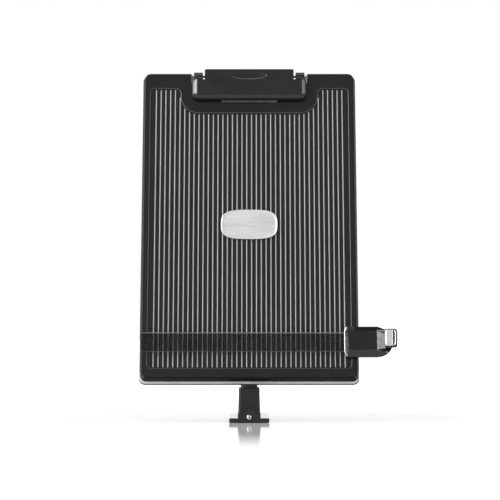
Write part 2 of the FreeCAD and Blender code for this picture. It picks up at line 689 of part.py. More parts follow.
def friction_washers():
    """A thin washer each side of the neck's lug."""
    body = new_body("friction_washers", BOARD)
    for low in ("lug_half", "0 - lug_half - washer_thick"):
        sketch = drawing(body, low, "yz")
        for radius in ("washer_radius", "bolt_radius + bolt_gap"):
            circles(sketch, [("tilt_up", "0 - tilt_behind")], radius)
        pad(body, sketch, "washer_thick")


def swivel_neck():
    """Flange and lug above the post, grooved spigot inside it."""
    body = new_body("swivel_neck")
    low = "(post_top + swivel_washer)"
    drum(body, "neck_radius", "neck_flange", ("0", "0", low))
    block(body, ("0 - lug_half", "lug_half"), ("0 - ear_radius", "ear_radius"), (low, "tilt_height"))
    drum(body, "ear_radius", "2 * lug_half", ("0 - lug_half", "0", "tilt_height"), "x")
    foot = "post_top - groove_low + groove_height"
    drum(body, "spigot_radius", "groove_low - groove_height + swivel_washer", ("0", "0", foot))
    drum(body, "groove_radius", "groove_height", ("0", "0", "post_top - groove_low"))
    drum(body, "spigot_radius", "spigot_length - groove_low", ("0", "0", "post_top - spigot_length"))
    drum(body, "bolt_radius + bolt_gap", "2 * lug_half", ("0 - lug_half", "0", "tilt_height"), "x",
         cut=True)


def swivel_washer():
    """A thin washer between the neck's flange and the post."""
    body = new_body("swivel_washer")
    sketch = drawing(body, "post_top")
    for radius in ("neck_radius - washer_thick", "spigot_radius + spigot_gap"):
        circles(sketch, [("0", "0")], radius)
    pad(body, sketch, "swivel_washer")


def square(sketch, half):
    """A square about the origin."""
    return polygon(sketch, [(f"{sx} * ({half})", f"{sy} * ({half})") for sx, sy in AROUND])


def post():
    """The square post with chamfered edges, its tenon below and the bore for the neck above."""
    body = new_body("post")
    slope = "-1 * atan((post_bottom_width - post_top_width) / 2 / (post_top - base_top))"
    pad(body, square(drawing(body, "base_top"), "post_bottom_width / 2"), "post_top - base_top",
        slope=slope)
    corners = [(f"{sx} * (post_bottom_width + post_top_width) / 4",
                f"{sy} * (post_bottom_width + post_top_width) / 4")
               for sx in (-1, 1) for sy in (-1, 1)]
    finish_edges(body, "Chamfer", "post_chamfer", upright_near(corners, 1))
    finish_edges(body, "Fillet", "post_top_round", at_level("z", "post_top"))
    pad(body, square(drawing(body, "base_top"), "tenon_half"), "base_top - tenon_bottom", up=False)
    drum(body, "spigot_radius + spigot_gap", "spigot_length + spigot_gap * 4",
         ("0", "0", "post_top - spigot_length - spigot_gap * 4"), cut=True)
    height = "post_top - groove_low + groove_height / 2"
    drum(body, "grub_radius + hole_gap", "post_bottom_width", ("0", "0", height), "y", cut=True)
    drum(body, "front_screw_radius + hole_gap", "front_screw_length - base_front + tenon_half + hole_gap",
         ("0", "0 - tenon_half", "front_screw_height"), "y", cut=True)


def grub_screw():
    """The grub screw from the back of the post into the spigot's groove."""
    body = new_body("grub_screw")
    height = "post_top - groove_low + groove_height / 2"
    start = "(groove_radius + hole_gap)"
    length = f"(post_top_width / 2 - {start})"
    drum(body, "grub_radius", length, ("0", start, height), "y")
    drum(body, "grub_radius / 2", "grub_radius", ("0", f"{start} + {length} - grub_radius", height),
         "y", cut=True)


def post_base():
    """The block on the foot that holds the tenon, with a skirt and a hump in front."""
    body = new_body("post_base")
    half = "(base_width / 2)"
    skirt_back = "(skirt_thick - base_front)"
    block(body, (f"0 - {half}", half), ("0 - base_front", "base_back"), ("skirt_bottom", "base_top"))
    drum(body, "hump_radius", "hump_thick", ("0", "0 - base_front", "front_screw_height"), "y")
    far = "(base_width + base_back)"
    block(body, (f"0 - {far}", far), (skirt_back, far), ("0 - hump_radius", "foot_top"), cut=True)
    block(body, (f"0 - {far}", far), (f"0 - {far}", far), ("0 - hump_radius", "skirt_bottom"), cut=True)
    pocket(body, square(drawing(body, "foot_top"), "tenon_half + tenon_gap"), "base_top - foot_top",
           up=True)
    start = ("0", "0 - base_front", "front_screw_height")
    drum(body, "front_screw_radius + hole_gap", "base_front", start, "y", cut=True)
    pocket(body, circles(drawing(body, "foot_top"), base_spots(), "base_screw_radius + hole_gap"),
           "base_screw_grip + hole_gap", up=True)


def base_spots():
    """Two screws under the front of the block and one under its back."""
    return both_sides("base_screw_side", "0 - base_screw_front") + [("0", "base_screw_back")]


def front_screw():
    """The bright screw through the hump into the tenon."""
    body = new_body("front_screw")
    place = ("0", "0 - base_front", "front_screw_height")
    drum(body, "front_screw_radius", "front_screw_length", place, "y")
    head = ("0", "0 - base_front - front_screw_head_high", "front_screw_height")
    drum(body, "front_screw_head", "front_screw_head_high", head, "y")
    face = value("0 - base_front - front_screw_head_high")
    finish_edges(body, "Fillet", "front_screw_head_high * 0.8", at_level("y", str(face)))


def base_screws():
    """Flat head screws that come up through the foot into the block."""
    body = new_body("base_screws")
    pad(body, circles(drawing(body, "pad_thick"), base_spots(), "base_screw_head"), "base_screw_sink")
    pad(body, circles(drawing(body, "pad_thick"), base_spots(), "base_screw_radius"),
        "foot_top - pad_thick + base_screw_grip")


def foot_outline(sketch, inset):
    """The foot's rectangle."""
    half = f"(foot_width / 2 - {inset})"
    front = f"({inset} - foot_front)"
    back = f"(foot_length - foot_front - {inset})"
    return polygon(sketch, [(f"0 - {half}", front), (half, front), (half, back), (f"0 - {half}", back)])


def round_foot(body, inset):
    """Round the foot's upright corners, the rear ones more."""
    half = f"(foot_width / 2 - {inset})"
    rear = both_sides(half, f"foot_length - foot_front - {inset}")
    finish_edges(body, "Fillet", f"foot_corner - {inset}", upright_near(rear, 1))
    corners = both_sides(half, f"{inset} - foot_front")
    finish_edges(body, "Fillet", f"foot_front_corner - {inset}", upright_near(corners, 1))


def foot_plate():
    """The heavy plate that keeps the holder standing."""
    body = new_body("foot_plate")
    pad(body, foot_outline(drawing(body, "pad_thick"), "0"), "foot_top - pad_thick")
    round_foot(body, "0")
    finish_edges(body, "Fillet", "foot_edge", at_level("z", "foot_top"))
    pocket(body, square(drawing(body, "pad_thick"), "tenon_half + tenon_gap"), "foot_top - pad_thick",
           up=True)
    spots = base_spots()
    for radius, depth in (("base_screw_radius", "foot_top - pad_thick"),
                          ("base_screw_head", "base_screw_sink")):
        pocket(body, circles(drawing(body, "pad_thick"), spots, f"{radius} + hole_gap"), depth, up=True)


def foot_pad():
    """A thin rubber pad under the foot."""
    body = new_body("foot_pad")
    pad(body, foot_outline(drawing(body), "pad_inset"), "pad_thick")
    round_foot(body, "pad_inset")


def clip_base():
    """The clip's plate on the board, with a knuckle at each end that stands in the notch."""
    body = new_body("clip_base", BOARD)
    half = "(lever_width / 2 - plate_inset)"
    end = "face_height - plate_end_drop"
    block(body, (f"0 - {half}", half), ("face_height - clip_plate_drop", end), ("0", "clip_plate"))
    for low in (KNUCKLE, f"(0 - {KNUCKLE} - knuckle_width)"):
        span = (low, f"{low} + knuckle_width")
        block(body, span, (f"{end} - clip_plate", CLIP_Y), ("0", "clip_plate"))
        drum(body, "knuckle_radius", "knuckle_width", (low, CLIP_Y, "clip_rise"), "x")
        drum(body, "rod_radius + rod_gap", "knuckle_width", (low, CLIP_Y, "clip_rise"), "x", cut=True)
    pocket(body, circles(drawing(body), RIVET_SPOTS, "rivet_radius + hole_gap"), "clip_plate", up=True)


def clip_rivets():
    """Two rivets that hold the clip's plate to the panel."""
    body = new_body("clip_rivets", BOARD)
    pad(body, circles(drawing(body, "clip_plate"), RIVET_SPOTS, "rivet_head"), "rivet_head_high")
    pad(body, circles(drawing(body, "clip_plate"), RIVET_SPOTS, "rivet_radius"),
        "clip_plate + face_wall", up=False)
    pad(body, circles(drawing(body, "0 - face_wall"), RIVET_SPOTS, "rivet_head"), "rivet_head_high",
        up=False)


def hinge_rod():
    """The rod through both knuckles and the lever's lugs."""
    body = new_body("hinge_rod", BOARD)
    reach = f"({KNUCKLE} + knuckle_width)"
    drum(body, "rod_radius", f"2 * {reach}", (f"0 - {reach}", CLIP_Y, "clip_rise"), "x")


def rod_sleeve():
    """A tube on the middle of the rod, seen through the finger slot."""
    body = new_body("rod_sleeve", BOARD)
    drum(body, "sleeve_radius", "2 * sleeve_half", ("0 - sleeve_half", CLIP_Y, "clip_rise"), "x")
    drum(body, "rod_radius + rod_gap", "2 * sleeve_half", ("0 - sleeve_half", CLIP_Y, "clip_rise"), "x",
         cut=True)


def clip_lever():
    """The sprung lever: a shallow cap with rolled edges, a finger tab above and two lugs on the rod."""
    body = new_body("clip_lever", BOARD)
    half = "(lever_width / 2)"
    lip = "(face_height - lever_drop)"
    shoulder = "(face_height - shoulder_drop)"
    deep = "(lever_top - lever_wall)"
    block(body, (f"0 - {half}", half), (lip, shoulder), ("lever_bottom", "lever_top"))
    low = both_sides(f"{half} - lever_wall", f"{lip} + lever_wall")
    high = both_sides(f"{half} - lever_wall", f"{shoulder} - lever_wall")
    inner = polygon(drawing(body, "lever_bottom"), low + high[::-1])
    pocket(body, inner, f"{deep} - lever_bottom", up=True)
    finish_edges(body, "Fillet", "lever_roll - lever_wall", upright_near(low, 1))
    roof = below_shoulder(deep, f"{shoulder} - lever_wall")
    finish_edges(body, "Fillet", "lever_roll - lever_wall", roof)
    finish_edges(body, "Fillet", "lever_roll", upright_near(both_sides(half, lip), 1))
    finish_edges(body, "Fillet", "lever_roll", below_shoulder("lever_top", shoulder))
    tab = (f"{shoulder} - finger_root", "face_height + finger_reach")
    block(body, (f"0 - {FINGER}", FINGER), tab, (deep, "lever_top"))
    for low in (f"({KNUCKLE} - lug_in - lug_width)", f"(lug_in - {KNUCKLE})"):
        span = (low, f"{low} + lug_width")
        tall = (f"{CLIP_Y} - lug_radius", f"{CLIP_Y} + lug_radius")
        block(body, span, tall, ("clip_rise", "lever_top - lever_wall / 2"))
        drum(body, "lug_radius", "lug_width", (low, CLIP_Y, "clip_rise"), "x")
        drum(body, "rod_radius + rod_gap", "lug_width", (low, CLIP_Y, "clip_rise"), "x", cut=True)
    corners = both_sides(FINGER, "face_height + finger_reach")
    finish_edges(body, "Fillet", "notch_round", upright_near(corners, 1))
    free_the_rod(body, shoulder, deep)
    finger_dish(body)


def below_shoulder(level, shoulder):
    """A test for the edges at a level, without the one along the lever's shoulder."""
    flush, limit = at_level("z", level), value(shoulder) - TINY
    return lambda edge: flush(edge) and edge.CenterOfMass.y < limit


def free_the_rod(body, shoulder, deep):
    """Open the lever's upper wall for the springs' legs and behind the knuckles."""
    wall = (f"{shoulder} - lever_wall * 2", f"{shoulder} + lever_wall")
    for side in (-1, 1):
        leg = f"{side} * coil_start"
        span = (f"{leg} - leg_slot_half", f"{leg} + leg_slot_half")
        block(body, span, wall, ("lever_bottom - leg_slot_high", "lever_bottom + leg_slot_high"), cut=True)
    for low in (f"({KNUCKLE} - knuckle_gap)", f"(0 - {KNUCKLE} - knuckle_width - knuckle_gap)"):
        span = (low, f"{low} + knuckle_width + 2 * knuckle_gap")
        block(body, span, wall, ("lever_bottom - leg_slot_high", deep), cut=True)


def finger_dish(body):
    """A shallow lens in the front of the finger tab."""
    dish = body.newObject("PartDesign::SubtractiveEllipsoid", body.Name + "_dish")
    bind(dish, Radius1="dish_deep", Radius2="dish_half_width", Radius3="dish_half_height")
    dish.setExpression("Placement.Base.y", formula(CLIP_Y))
    dish.setExpression("Placement.Base.z", formula("lever_top"))
    doc.recompute()


def grip_pad():
    """A rubber strip under the lip that presses on the paper."""
    body = new_body("grip_pad", BOARD)
    low = "(face_height - lever_drop - grip_peek)"
    block(body, ("0 - grip_width / 2", "grip_width / 2"), (low, f"{low} + grip_depth"),
          ("grip_gap", "lever_bottom"))


def arc_from(start, heading, end):
    """The arc that leaves a point along a heading and ends at another point."""
    chord = end - start
    half_turn = heading.getAngle(chord)
    if half_turn < TINY:
        return Part.LineSegment(start, end).toShape()
    along = V(chord).normalize()
    side = (heading - along * heading.dot(along)).normalize()
    crown = start + chord * 0.5 + side * (chord.Length / 2 * math.tan(half_turn / 2))
    return Part.Arc(start, crown, end).toShape()


def biarc(start, leaving, end, arriving):
    """Two arcs that join two points with a given heading at each."""
    chord = end - start
    total = leaving + arriving
    spread = 2 * (1 - leaving.dot(arriving))
    reach = (math.sqrt(chord.dot(total) ** 2 + spread * chord.dot(chord)) - chord.dot(total)) / spread
    joint = (start + end + (leaving - arriving) * reach) * 0.5
    middle = V(joint - start - leaving * reach).normalize()
    return [arc_from(start, leaving, joint), arc_from(joint, middle, end)]


def helix(radius, pitch, first, last, place):
    """Arcs along a helix about an axis, from one angle to another, with the headings at its ends."""
    quarters = max(1, round((last - first) / 90))
    angles = [math.radians(first + (last - first) * step / quarters) for step in range(quarters + 1)]
    rise = pitch / (2 * math.pi)
    start = angles[0]
    points = [place(rise * (a - start), radius * math.cos(a), radius * math.sin(a)) for a in angles]
    origin = place(0, 0, 0)
    turned = [place(rise, -radius * math.sin(a), radius * math.cos(a)) for a in angles]
    headings = [(spot - origin).normalize() for spot in turned]
    edges = []
    for n in range(quarters):
        edges += biarc(points[n], headings[n], points[n + 1], headings[n + 1])
    return edges, points, headings


def wire_solid(name, edges, start, heading, radius, frame):
    """A round wire swept along joined edges."""
    ring = Part.Wire(Part.Circle(start, heading, radius).toShape())
    solid = Part.Wire(edges).makePipeShell([ring], True, False)
    spring = doc.addObject("Part::Feature", name)
    spring.Label = name
    spring.Shape = solid
    spring.Placement = sheet.evalExpression(formula(frame))
    nodes.append(spring)


def clip_spring(name, side):
    """A torsion spring on the rod, one leg on the base plate and one under the finger tab."""
    radius, wire, pitch = value("coil_radius"), value("coil_wire"), value("coil_pitch")
    centre = V(side * value("coil_start"), value(CLIP_Y), value("clip_rise"))
    first = value("coil_fixed_angle") - 90
    last = value("coil_free_angle") - 90 + 360 * value("coil_turns")
    edges, points, headings = helix(radius, pitch, first, last, lambda x, y, z: centre + V(side * x, y, z))
    tail = points[0] - headings[0] * value("coil_fixed_leg")
    tip = points[-1] + headings[-1] * value("coil_free_leg")
    route = [Part.LineSegment(tail, points[0]).toShape(), *edges,
             Part.LineSegment(points[-1], tip).toShape()]
    print(name, "least gap between turns", round(pitch - 2 * wire, 2))
    wire_solid(name, route, tail, headings[0], wire, BOARD)


def lever_spring():
    """A coil spring between the slider body and the thumb piece."""
    radius, wire, pitch = value("press_radius"), value("press_wire"), value("press_pitch")
    base = V(value(f"{RIM} + press_out"), value("guide_up"),
             value("press_wire + press_rest - cavity_floor"))
    turn = 360 * value("press_turns")
    edges, points, headings = helix(radius, pitch, 0, turn, lambda rise, x, y: base + V(x, y, rise))
    print("lever_spring least gap between turns", round(pitch - 2 * wire, 2))
    wire_solid("lever_spring", edges, points[0], headings[0], wire, BOARD)


def guide_blade():
    """The clear strip across the board, with a bead at its top and a reading line."""
    body = new_body("guide_blade", BOARD)
    low, top = "(guide_up - blade_half)", "(guide_up + blade_half)"
    under, over = "blade_lift", "(blade_lift + blade_thick)"
    line = f"({low} + line_low)"
    bead, bold = f"{over} + bead_rise", f"{line} + line_width"
    corners = [(low, under), (top, under), (top, bead), (f"{top} - bead_width", bead),
               (f"{top} - bead_width", over), (bold, over), (bold, f"{over} + line_rise"),
               (line, f"{over} + line_rise"), (line, over), (low, over)]
    sketch = polygon(drawing(body, f"0 - {HALF} - blade_overhang", "yz"), corners)
    pad(body, sketch, f"{HALF} + blade_overhang + {RIM} - blade_end")
    holes = circles(drawing(body, under), blade_spots(), "blade_screw_radius + hole_gap")
    pocket(body, holes, "blade_thick + bead_rise", up=True)


def blade_spots():
    """Two screws one above the other in the blade's right end."""
    x = f"{RIM} - blade_screw_in"
    return [(x, "guide_up - blade_screw_side"), (x, "guide_up + blade_screw_side")]


def slider_spots():
    """Two screws that hold the slider's cap to its body."""
    x = f"{RIM} + slider_screw_out"
    return [(x, "guide_up - slider_screw_side"), (x, "guide_up + slider_screw_side")]


def slider_body():
    """The jaw round the board's right edge, with a cavity for the brake lever."""
    body = new_body("slider_body", BOARD)
    left, straight = f"({RIM} - body_lap)", f"({RIM} + body_reach)"
    sketch = drawing(body, BODY_TOP)
    low, high = "guide_up - body_half", "guide_up + body_half"
    outline = [(straight, low), (straight, high), (f"{left} + body_corner", high),
               (left, f"{high} - body_corner"),
               (left, f"{low} + body_corner"), (f"{left} + body_corner", low)]
    polygon(sketch, outline)
    pad(body, sketch, f"{BODY_TOP} + {BODY_BACK}", up=False, slope=BACK_SLOPE)
    round_end = circles(drawing(body, BODY_TOP), [(straight, "guide_up")], "body_half")
    pad(body, round_end, f"{BODY_TOP} + {BODY_BACK}", up=False, slope=BACK_SLOPE)
    tall = ("guide_up - body_half * 2", "guide_up + body_half * 2")
    jaw = ("0 - board_depth - slider_gap", "slider_gap")
    block(body, (f"{left} - body_lap", f"{RIM} + edge_gap"), tall, jaw, cut=True)
    hollow = ("guide_up - cavity_half", "guide_up + cavity_half")
    deep = ("0 - cavity_floor", f"{BODY_TOP} + cut_past")
    block(body, (f"{RIM} + cavity_start", f"{RIM} + cavity_reach"), hollow, deep, cut=True)
    block(body, (RIM, f"{RIM} + cavity_start"), hollow, ("0 - window_low", "0 - window_high"), cut=True)
    drum(body, "pin_radius + hole_gap", "2 * pin_half + hole_gap",
         (f"{RIM} + pin_out", "guide_up - pin_half - hole_gap / 2", "0 - pin_deep"), "y", cut=True)
    holes = circles(drawing(body, f"0 - {BODY_BACK}"), slider_spots(), "slider_screw_radius + hole_gap")
    pocket(body, holes, f"{BODY_BACK} + {BODY_TOP}", up=True)
    holes = circles(drawing(body, BODY_TOP), blade_spots(), "blade_screw_radius + hole_gap")
    pocket(body, holes, "slider_plate")


def cap_ring(inset, level_half, lap, corner, shoulder, reach, end_half):
    """Eight corners of the cap's outline, drawn in by an inset."""
    left = f"({RIM} - {lap} + {inset})"
    half = f"({level_half} - {inset})"
    right = f"({RIM} + {reach} - {inset})"
    lower = [(left, f"guide_up - {half} + {corner}"), (f"{left} + {corner}", f"guide_up - {half}"),
             (f"{RIM} + {shoulder}", f"guide_up - {half}"), (right, f"guide_up - {end_half} + {inset}")]
    return lower + [(x, f"2 * guide_up - ({y})") for x, y in reversed(lower)]


def cap_shape(body, inset, cut):
    """A skirt and a loft from the cap's outline up to its flat face."""
    lower = cap_ring(inset, "cap_half", "cap_lap", "cap_corner",
                     "cap_shoulder", "cap_reach", "cap_end_half")
    straight = f"cap_face_reach - cap_face_corner - {inset}"
    upper = cap_ring(inset, "cap_face_half", "cap_face_lap", "cap_face_corner",
                     straight, "cap_face_reach", "cap_face_half - cap_face_corner")
    top = f"(cap_top - {inset})"
    levels = ("hole_gap / 2", "cap_skirt")
    sections = [polygon(drawing(body, f"{BODY_TOP} + {level}"), lower) for level in levels]
    sections.append(polygon(drawing(body, top), upper))
    doc.recompute()
    for first, second in zip(sections, sections[1:]):
        kind = "SubtractiveLoft" if cut else "AdditiveLoft"
        feature = body.newObject("PartDesign::" + kind, body.Name + "_loft")
        feature.Profile = first
        feature.Sections = [second]
        feature.Ruled = True
        doc.recompute()


def slider_cap():
    """The cap over the slider's front, open at the left for the blade and at the right for the lever."""
    body = new_body("slider_cap", BOARD)
    cap_shape(body, "0", False)
    cap_shape(body, "cap_wall", True)
    bosses = circles(drawing(body, f"{BODY_TOP} + hole_gap / 2"), slider_spots(), "cap_boss")
    pad(body, bosses, f"cap_top - cap_wall / 2 - {BODY_TOP} - hole_gap / 2")
    holes = circles(drawing(body, f"{BODY_TOP} + hole_gap / 2"), slider_spots(),
                    "slider_screw_radius + hole_gap")
    pocket(body, holes, f"cap_top - cap_wall - {BODY_TOP}", up=True)
    floor = f"({BODY_TOP} - hole_gap)"
    tall = ("guide_up - blade_half - hole_gap", "guide_up + blade_half + hole_gap")
    slot_top = "blade_lift + blade_thick + bead_rise + hole_gap"
    block(body, (f"{RIM} - 2 * cap_lap", f"{RIM} - blade_end + hole_gap"), tall, (floor, slot_top),
          cut=True)
    rooms = (("neck_start - hole_gap * 3", "guide_up", "neck_half"),
             ("thumb_start - thumb_step", "guide_up + thumb_up", "thumb_half"))
    for start, middle, half in rooms:
        gap = (f"{middle} - {half} - hole_gap * 3", f"{middle} + {half} + hole_gap * 3")
        span = (f"{RIM} + {start}", f"{RIM} + 2 * cap_reach")
        block(body, span, gap, (floor, "cap_top + cut_past"), cut=True)


def blade_screws():
    """Two short screws that hold the blade on the slider body."""
    face = "blade_lift + blade_thick"
    screws("blade_screws", blade_spots(), BOARD, f"({face})", f"{face} - {BODY_TOP} + slider_plate",
           head_up=True,
           radius="blade_screw_radius", head="blade_screw_head", head_high="blade_screw_head_high")


def slider_screws():
    """Two screws from behind the slider into the cap's bosses."""
    screws("slider_screws", slider_spots(), BOARD, f"(0 - {BODY_BACK})",
           f"{BODY_BACK} + {BODY_TOP} + cap_skirt",
           radius="slider_screw_radius", head="slider_screw_head", head_high="screw_head")


def brake_lever():
    """The lever on its pin: a thumb piece in front, a neck through the cap, an arm to the shoe."""
    body = new_body("brake_lever", BOARD)
    pin_x, pin_z = f"({RIM} + pin_out)", "(0 - pin_deep)"
    neck, thumb, end = f"({RIM} + neck_start)", f"({RIM} + thumb_start)", f"({RIM} + thumb_reach)"
    step, reach = f"({thumb} - thumb_step)", f"({thumb} + stem_reach)"
    under, back = "(cap_top - neck_thick)", "(thumb_top - thumb_thick)"
    front = [(neck, "cap_top - neck_drop"), (step, "cap_top - neck_fall"),
             (thumb, "thumb_top - thumb_lean"), (end, "thumb_top"), (end, back),
             (f"{thumb} + thumb_root", f"{back} - root_deep"), (reach, under), (neck, under)]
    tall_half = "(thumb_half + thumb_up)"
    pad(body, polygon(drawing(body, f"0 - guide_up - {tall_half}", "xz"), front), f"2 * {tall_half}")
    for sign in (-1, 1):
        outer = f"(guide_up + {sign} * {tall_half} * 2)"
        slim, broad = f"guide_up + {sign} * neck_end_half", f"guide_up + thumb_up + {sign} * thumb_half"
        middle, past = f"{thumb} - thumb_step / 2", f"{end} + cut_past"
        wedge = [(neck, outer), (neck, f"guide_up + {sign} * neck_half"), (step, slim), (middle, slim),
                 (middle, broad), (past, broad), (past, outer)]
        pocket(body, polygon(drawing(body, "thumb_top + cut_past"), wedge), "thumb_top + cap_top")
    web, pin_left = f"{under} - stem_web", f"{pin_x} - eye_radius"
    stem = [(neck, f"{under} + stem_lap"), (reach, f"{under} + stem_lap"), (reach, web),
            (f"{thumb} - knee_in", f"{under} - knee_drop"), (f"{pin_x} + eye_radius", pin_z),
            (pin_left, pin_z),
            (pin_left, "0 - shoe_high"), (neck, web)]
    pad(body, polygon(drawing(body, "0 - guide_up - arm_half", "xz"), stem), "2 * arm_half")
    arm = (f"{RIM} + arm_start", pin_x)
    tall = ("guide_up - arm_half", "guide_up + arm_half")
    block(body, arm, tall, ("0 - shoe_low - arm_lip", "arm_lip - shoe_high"))
    drum(body, "eye_radius", "2 * arm_half", (pin_x, tall[0], pin_z), "y")
    drum(body, "pin_radius + pin_gap", "2 * arm_half", (pin_x, tall[0], pin_z), "y", cut=True)
    limit, front = value(end) - TINY, value("thumb_top - thumb_lean") - TINY
    upright = lambda edge: edge.CenterOfMass.x > limit and runs_along(edge, "z")
    finish_edges(body, "Fillet", "thumb_corner", upright)
    finish_edges(body, "Fillet", "thumb_round", lambda edge: edge.CenterOfMass.z > front)


def lever_pin():
    """The brake lever's pin, along the board."""
    body = new_body("lever_pin", BOARD)
    drum(body, "pin_radius", "2 * pin_half",
         (f"{RIM} + pin_out", "guide_up - pin_half", "0 - pin_deep"), "y")


def brake_shoe():
    """A rubber block on the lever's arm that grips the board's side wall."""
    body = new_body("brake_shoe", BOARD)
    wall = f"({HALF} + flare * shoe_low / board_depth)"
    block(body, (f"{wall} + shoe_gap", f"{RIM} + arm_start"),
          ("guide_up - shoe_half", "guide_up + shoe_half"),
          ("0 - shoe_low", "0 - shoe_high"))


front_panel()
rear_cover()
screws("cover_screws", COVER_SPOTS, BOARD, "(0 - board_depth)", "cover_thick + screw_grip")
badge_plate()
tilt_bracket()
screws("bracket_screws", BRACKET_SPOTS, BOARD, "(0 - board_depth - bracket_thick)",
       "bracket_thick + cover_thick + screw_grip")
tilt_bolt()
tilt_nut()
friction_washers()
swivel_neck()
swivel_washer()
post()
grub_screw()
post_base()
front_screw()
base_screws()
foot_plate()
foot_pad()
clip_base()
clip_rivets()
hinge_rod()
rod_sleeve()
clip_lever()
grip_pad()
clip_spring("clip_spring_left", -1)
clip_spring("clip_spring_right", 1)
guide_blade()
slider_body()
slider_cap()
blade_screws()
slider_screws()
brake_lever()
lever_pin()
brake_shoe()
lever_spring()

doc.recompute()
for item in doc.Objects:
    if "Invalid" in item.State or "Error" in item.State:
        raise RuntimeError(f"{item.Label} failed: {item.State}")
for node in nodes:
    if node.Shape.isNull() or not node.Shape.isValid():
        raise RuntimeError(f"{node.Label} has no valid shape")

os.makedirs("parts", exist_ok=True)
for node in nodes:
    node.Shape.exportStep(f"parts/{node.Label}.step")
    print(node.Label, len(node.Shape.Solids), round(node.Shape.Volume, 1))
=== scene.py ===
"""Looks for a copy holder: a ribbed board on a post, with a clip and a sliding line guide."""
import json
import math

import bmesh
import bpy
import numpy as np
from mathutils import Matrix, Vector


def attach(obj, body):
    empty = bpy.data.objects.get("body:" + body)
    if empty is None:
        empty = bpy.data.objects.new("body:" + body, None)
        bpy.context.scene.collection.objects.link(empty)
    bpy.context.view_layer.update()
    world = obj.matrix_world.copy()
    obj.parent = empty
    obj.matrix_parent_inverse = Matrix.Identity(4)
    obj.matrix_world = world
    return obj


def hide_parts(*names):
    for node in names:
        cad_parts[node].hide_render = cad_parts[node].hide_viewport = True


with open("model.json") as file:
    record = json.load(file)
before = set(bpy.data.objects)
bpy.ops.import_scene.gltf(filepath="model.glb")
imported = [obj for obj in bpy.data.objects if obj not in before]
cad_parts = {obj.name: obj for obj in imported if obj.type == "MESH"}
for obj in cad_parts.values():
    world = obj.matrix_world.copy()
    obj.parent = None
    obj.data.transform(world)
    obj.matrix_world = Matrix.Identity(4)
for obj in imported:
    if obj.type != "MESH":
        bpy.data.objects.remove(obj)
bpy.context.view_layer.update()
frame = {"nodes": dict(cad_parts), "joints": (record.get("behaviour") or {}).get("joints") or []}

bl_info = {
    "name": "Copy Holder",
    "version": (1, 0, 0),
    "blender": (4, 5, 0),
    "location": "View3D > Sidebar > Copy Holder",
    "description": "Dresses a copy holder and lights it on a pale table",
    "category": "Object",
}

MM = 0.001
SHARP = math.radians(40)

# The board's directions, and the middle of its face's lower edge, found from the clip's hinge
JOINTS = {joint["name"]: joint for joint in frame["joints"]}
CLIP_UP, CLIP_OUT = 344 * MM, 5.5 * MM
ACROSS = np.array([1.0, 0.0, 0.0])
UP = np.array(JOINTS["guide_slide"]["axis"], float)
OUT = np.array([0, -UP[2], UP[1]])
CORNER = np.array(JOINTS["clip_open"]["pos_m"]) - CLIP_UP * UP - CLIP_OUT * OUT
LEAN = math.atan2(UP[1], UP[2])

# All sizes from here to the lamps are in millimetres: across the board, up it and out of its face

# The board's outline at its face, how much its walls spread by its rear, and the parts of its face
FACE_HALF, CORNER_ROUND, FLARE, BOARD_DEPTH = 115, 6.5, 2.5, 13
FIELD_HALF, FIELD_LOW, FIELD_HIGH = 110.5, 9.5, 335
RIM_HALF, RIM_LOW, RIM_HIGH = 113.6, 1.4, 348.6

# The depths between which the ribs' crests get a painted highlight, and the specular levels of the board's
# face and walls
RIB_HIGHLIGHT_FROM, RIB_CREST, RIB_SOFT = -0.34, -0.14, 0.06
FACE_SPECULAR, WALL_SPECULAR = 0.5, 0.06

# The badge's loops are how far each lies in from the outline, and how high
BADGE_UP, BADGE_POWER, BADGE_POINTS = 172.9, 3.3, 160
BADGE_LOOPS = ((0.6, 0), (0, 0.25), (0, 1.1), (0.15, 1.4), (0.45, 1.58), (0.75, 1.6), (1.0, 1.45),
               (1.15, 1.2), (1.5, 1.08), (5, 1.12), (11, 1.2), (16, 1.24))

# Two strips run round the board's lower wall, each between two depths, and end this far up its sides
TRIM_DEPTHS, LIP_DEPTHS = (-11.8, -7.8), (-12.9, -11.9)
STRIP_RISE, STRIP_SUNK, STRIP_BEVEL, STRIP_SIDE_SHARE = 5, 0.25, 0.15, 0.1
SIDE_LOOPS, CORNER_LOOPS, BOTTOM_LOOPS = 4, 17, 23

# The guide's ends, and the place of the bead on its upper edge, a painted highlight, and of the dark line
# on its lower edge, a painted shadow
GUIDE_LEFT, GUIDE_RIGHT, GUIDE_MIDDLE = 115.2, 101, 39
BEAD_UP, BEAD_OUT = 48.9, 4.5
SHADOW_UP, SHADOW_OUT, SHADOW_RADIUS = 28.9, 3.8, 0.35
BEAD_POINTS, BEAD_LOOPS = 12, 24

# The slider cap's left edge: its place, half its height, its corner's cut, and its bead, a painted
# highlight of the glossy bevel
EDGE_LEFT, EDGE_HALF, EDGE_CUT, EDGE_OUT, EDGE_TAPER = 101.8, 13.4, 2.6, 5.9, 2
EDGE_RADII = (0.3, 1, 0.45)
EDGE_OUTWARD = ((-0.7, 0.7), (-0.7, 0.7), (-1, 0.2))

# The thumb piece's middle, its face there, and the face's slope. Right of THUMB_LEFT the lever is dark, a
# painted shade
THUMB_U, THUMB_V, THUMB_FRONT, THUMB_SLOPE = 150.9, 40.2, 15.2, 0.03
THUMB_POWER, THUMB_POINTS, THUMB_LEFT, THUMB_SOFT = 7, 120, 144.3, 0.3

# A plate on the thumb piece is its left and right side, half its height, and its loops as for the badge
# The seat is dark: a painted shade where it shows in the groove between rim and pad and round them
SHADE_SEAT = (144.2, 157.1, 9.8, ((0, -0.4), (0, 0.3), (0.2, 0.45), (4, 0.45)))
RIM = (144.7, 155.6, 8.7, ((0, 0.3), (0.05, 0.75), (0.4, 0.95), (0.8, 0.75), (0.85, 0.3)))
PAD = (144.6, 152.6, 8.8, ((0, 0.3), (0.05, 0.8), (0.4, 1.05), (1.2, 1.15), (3, 1.2)))

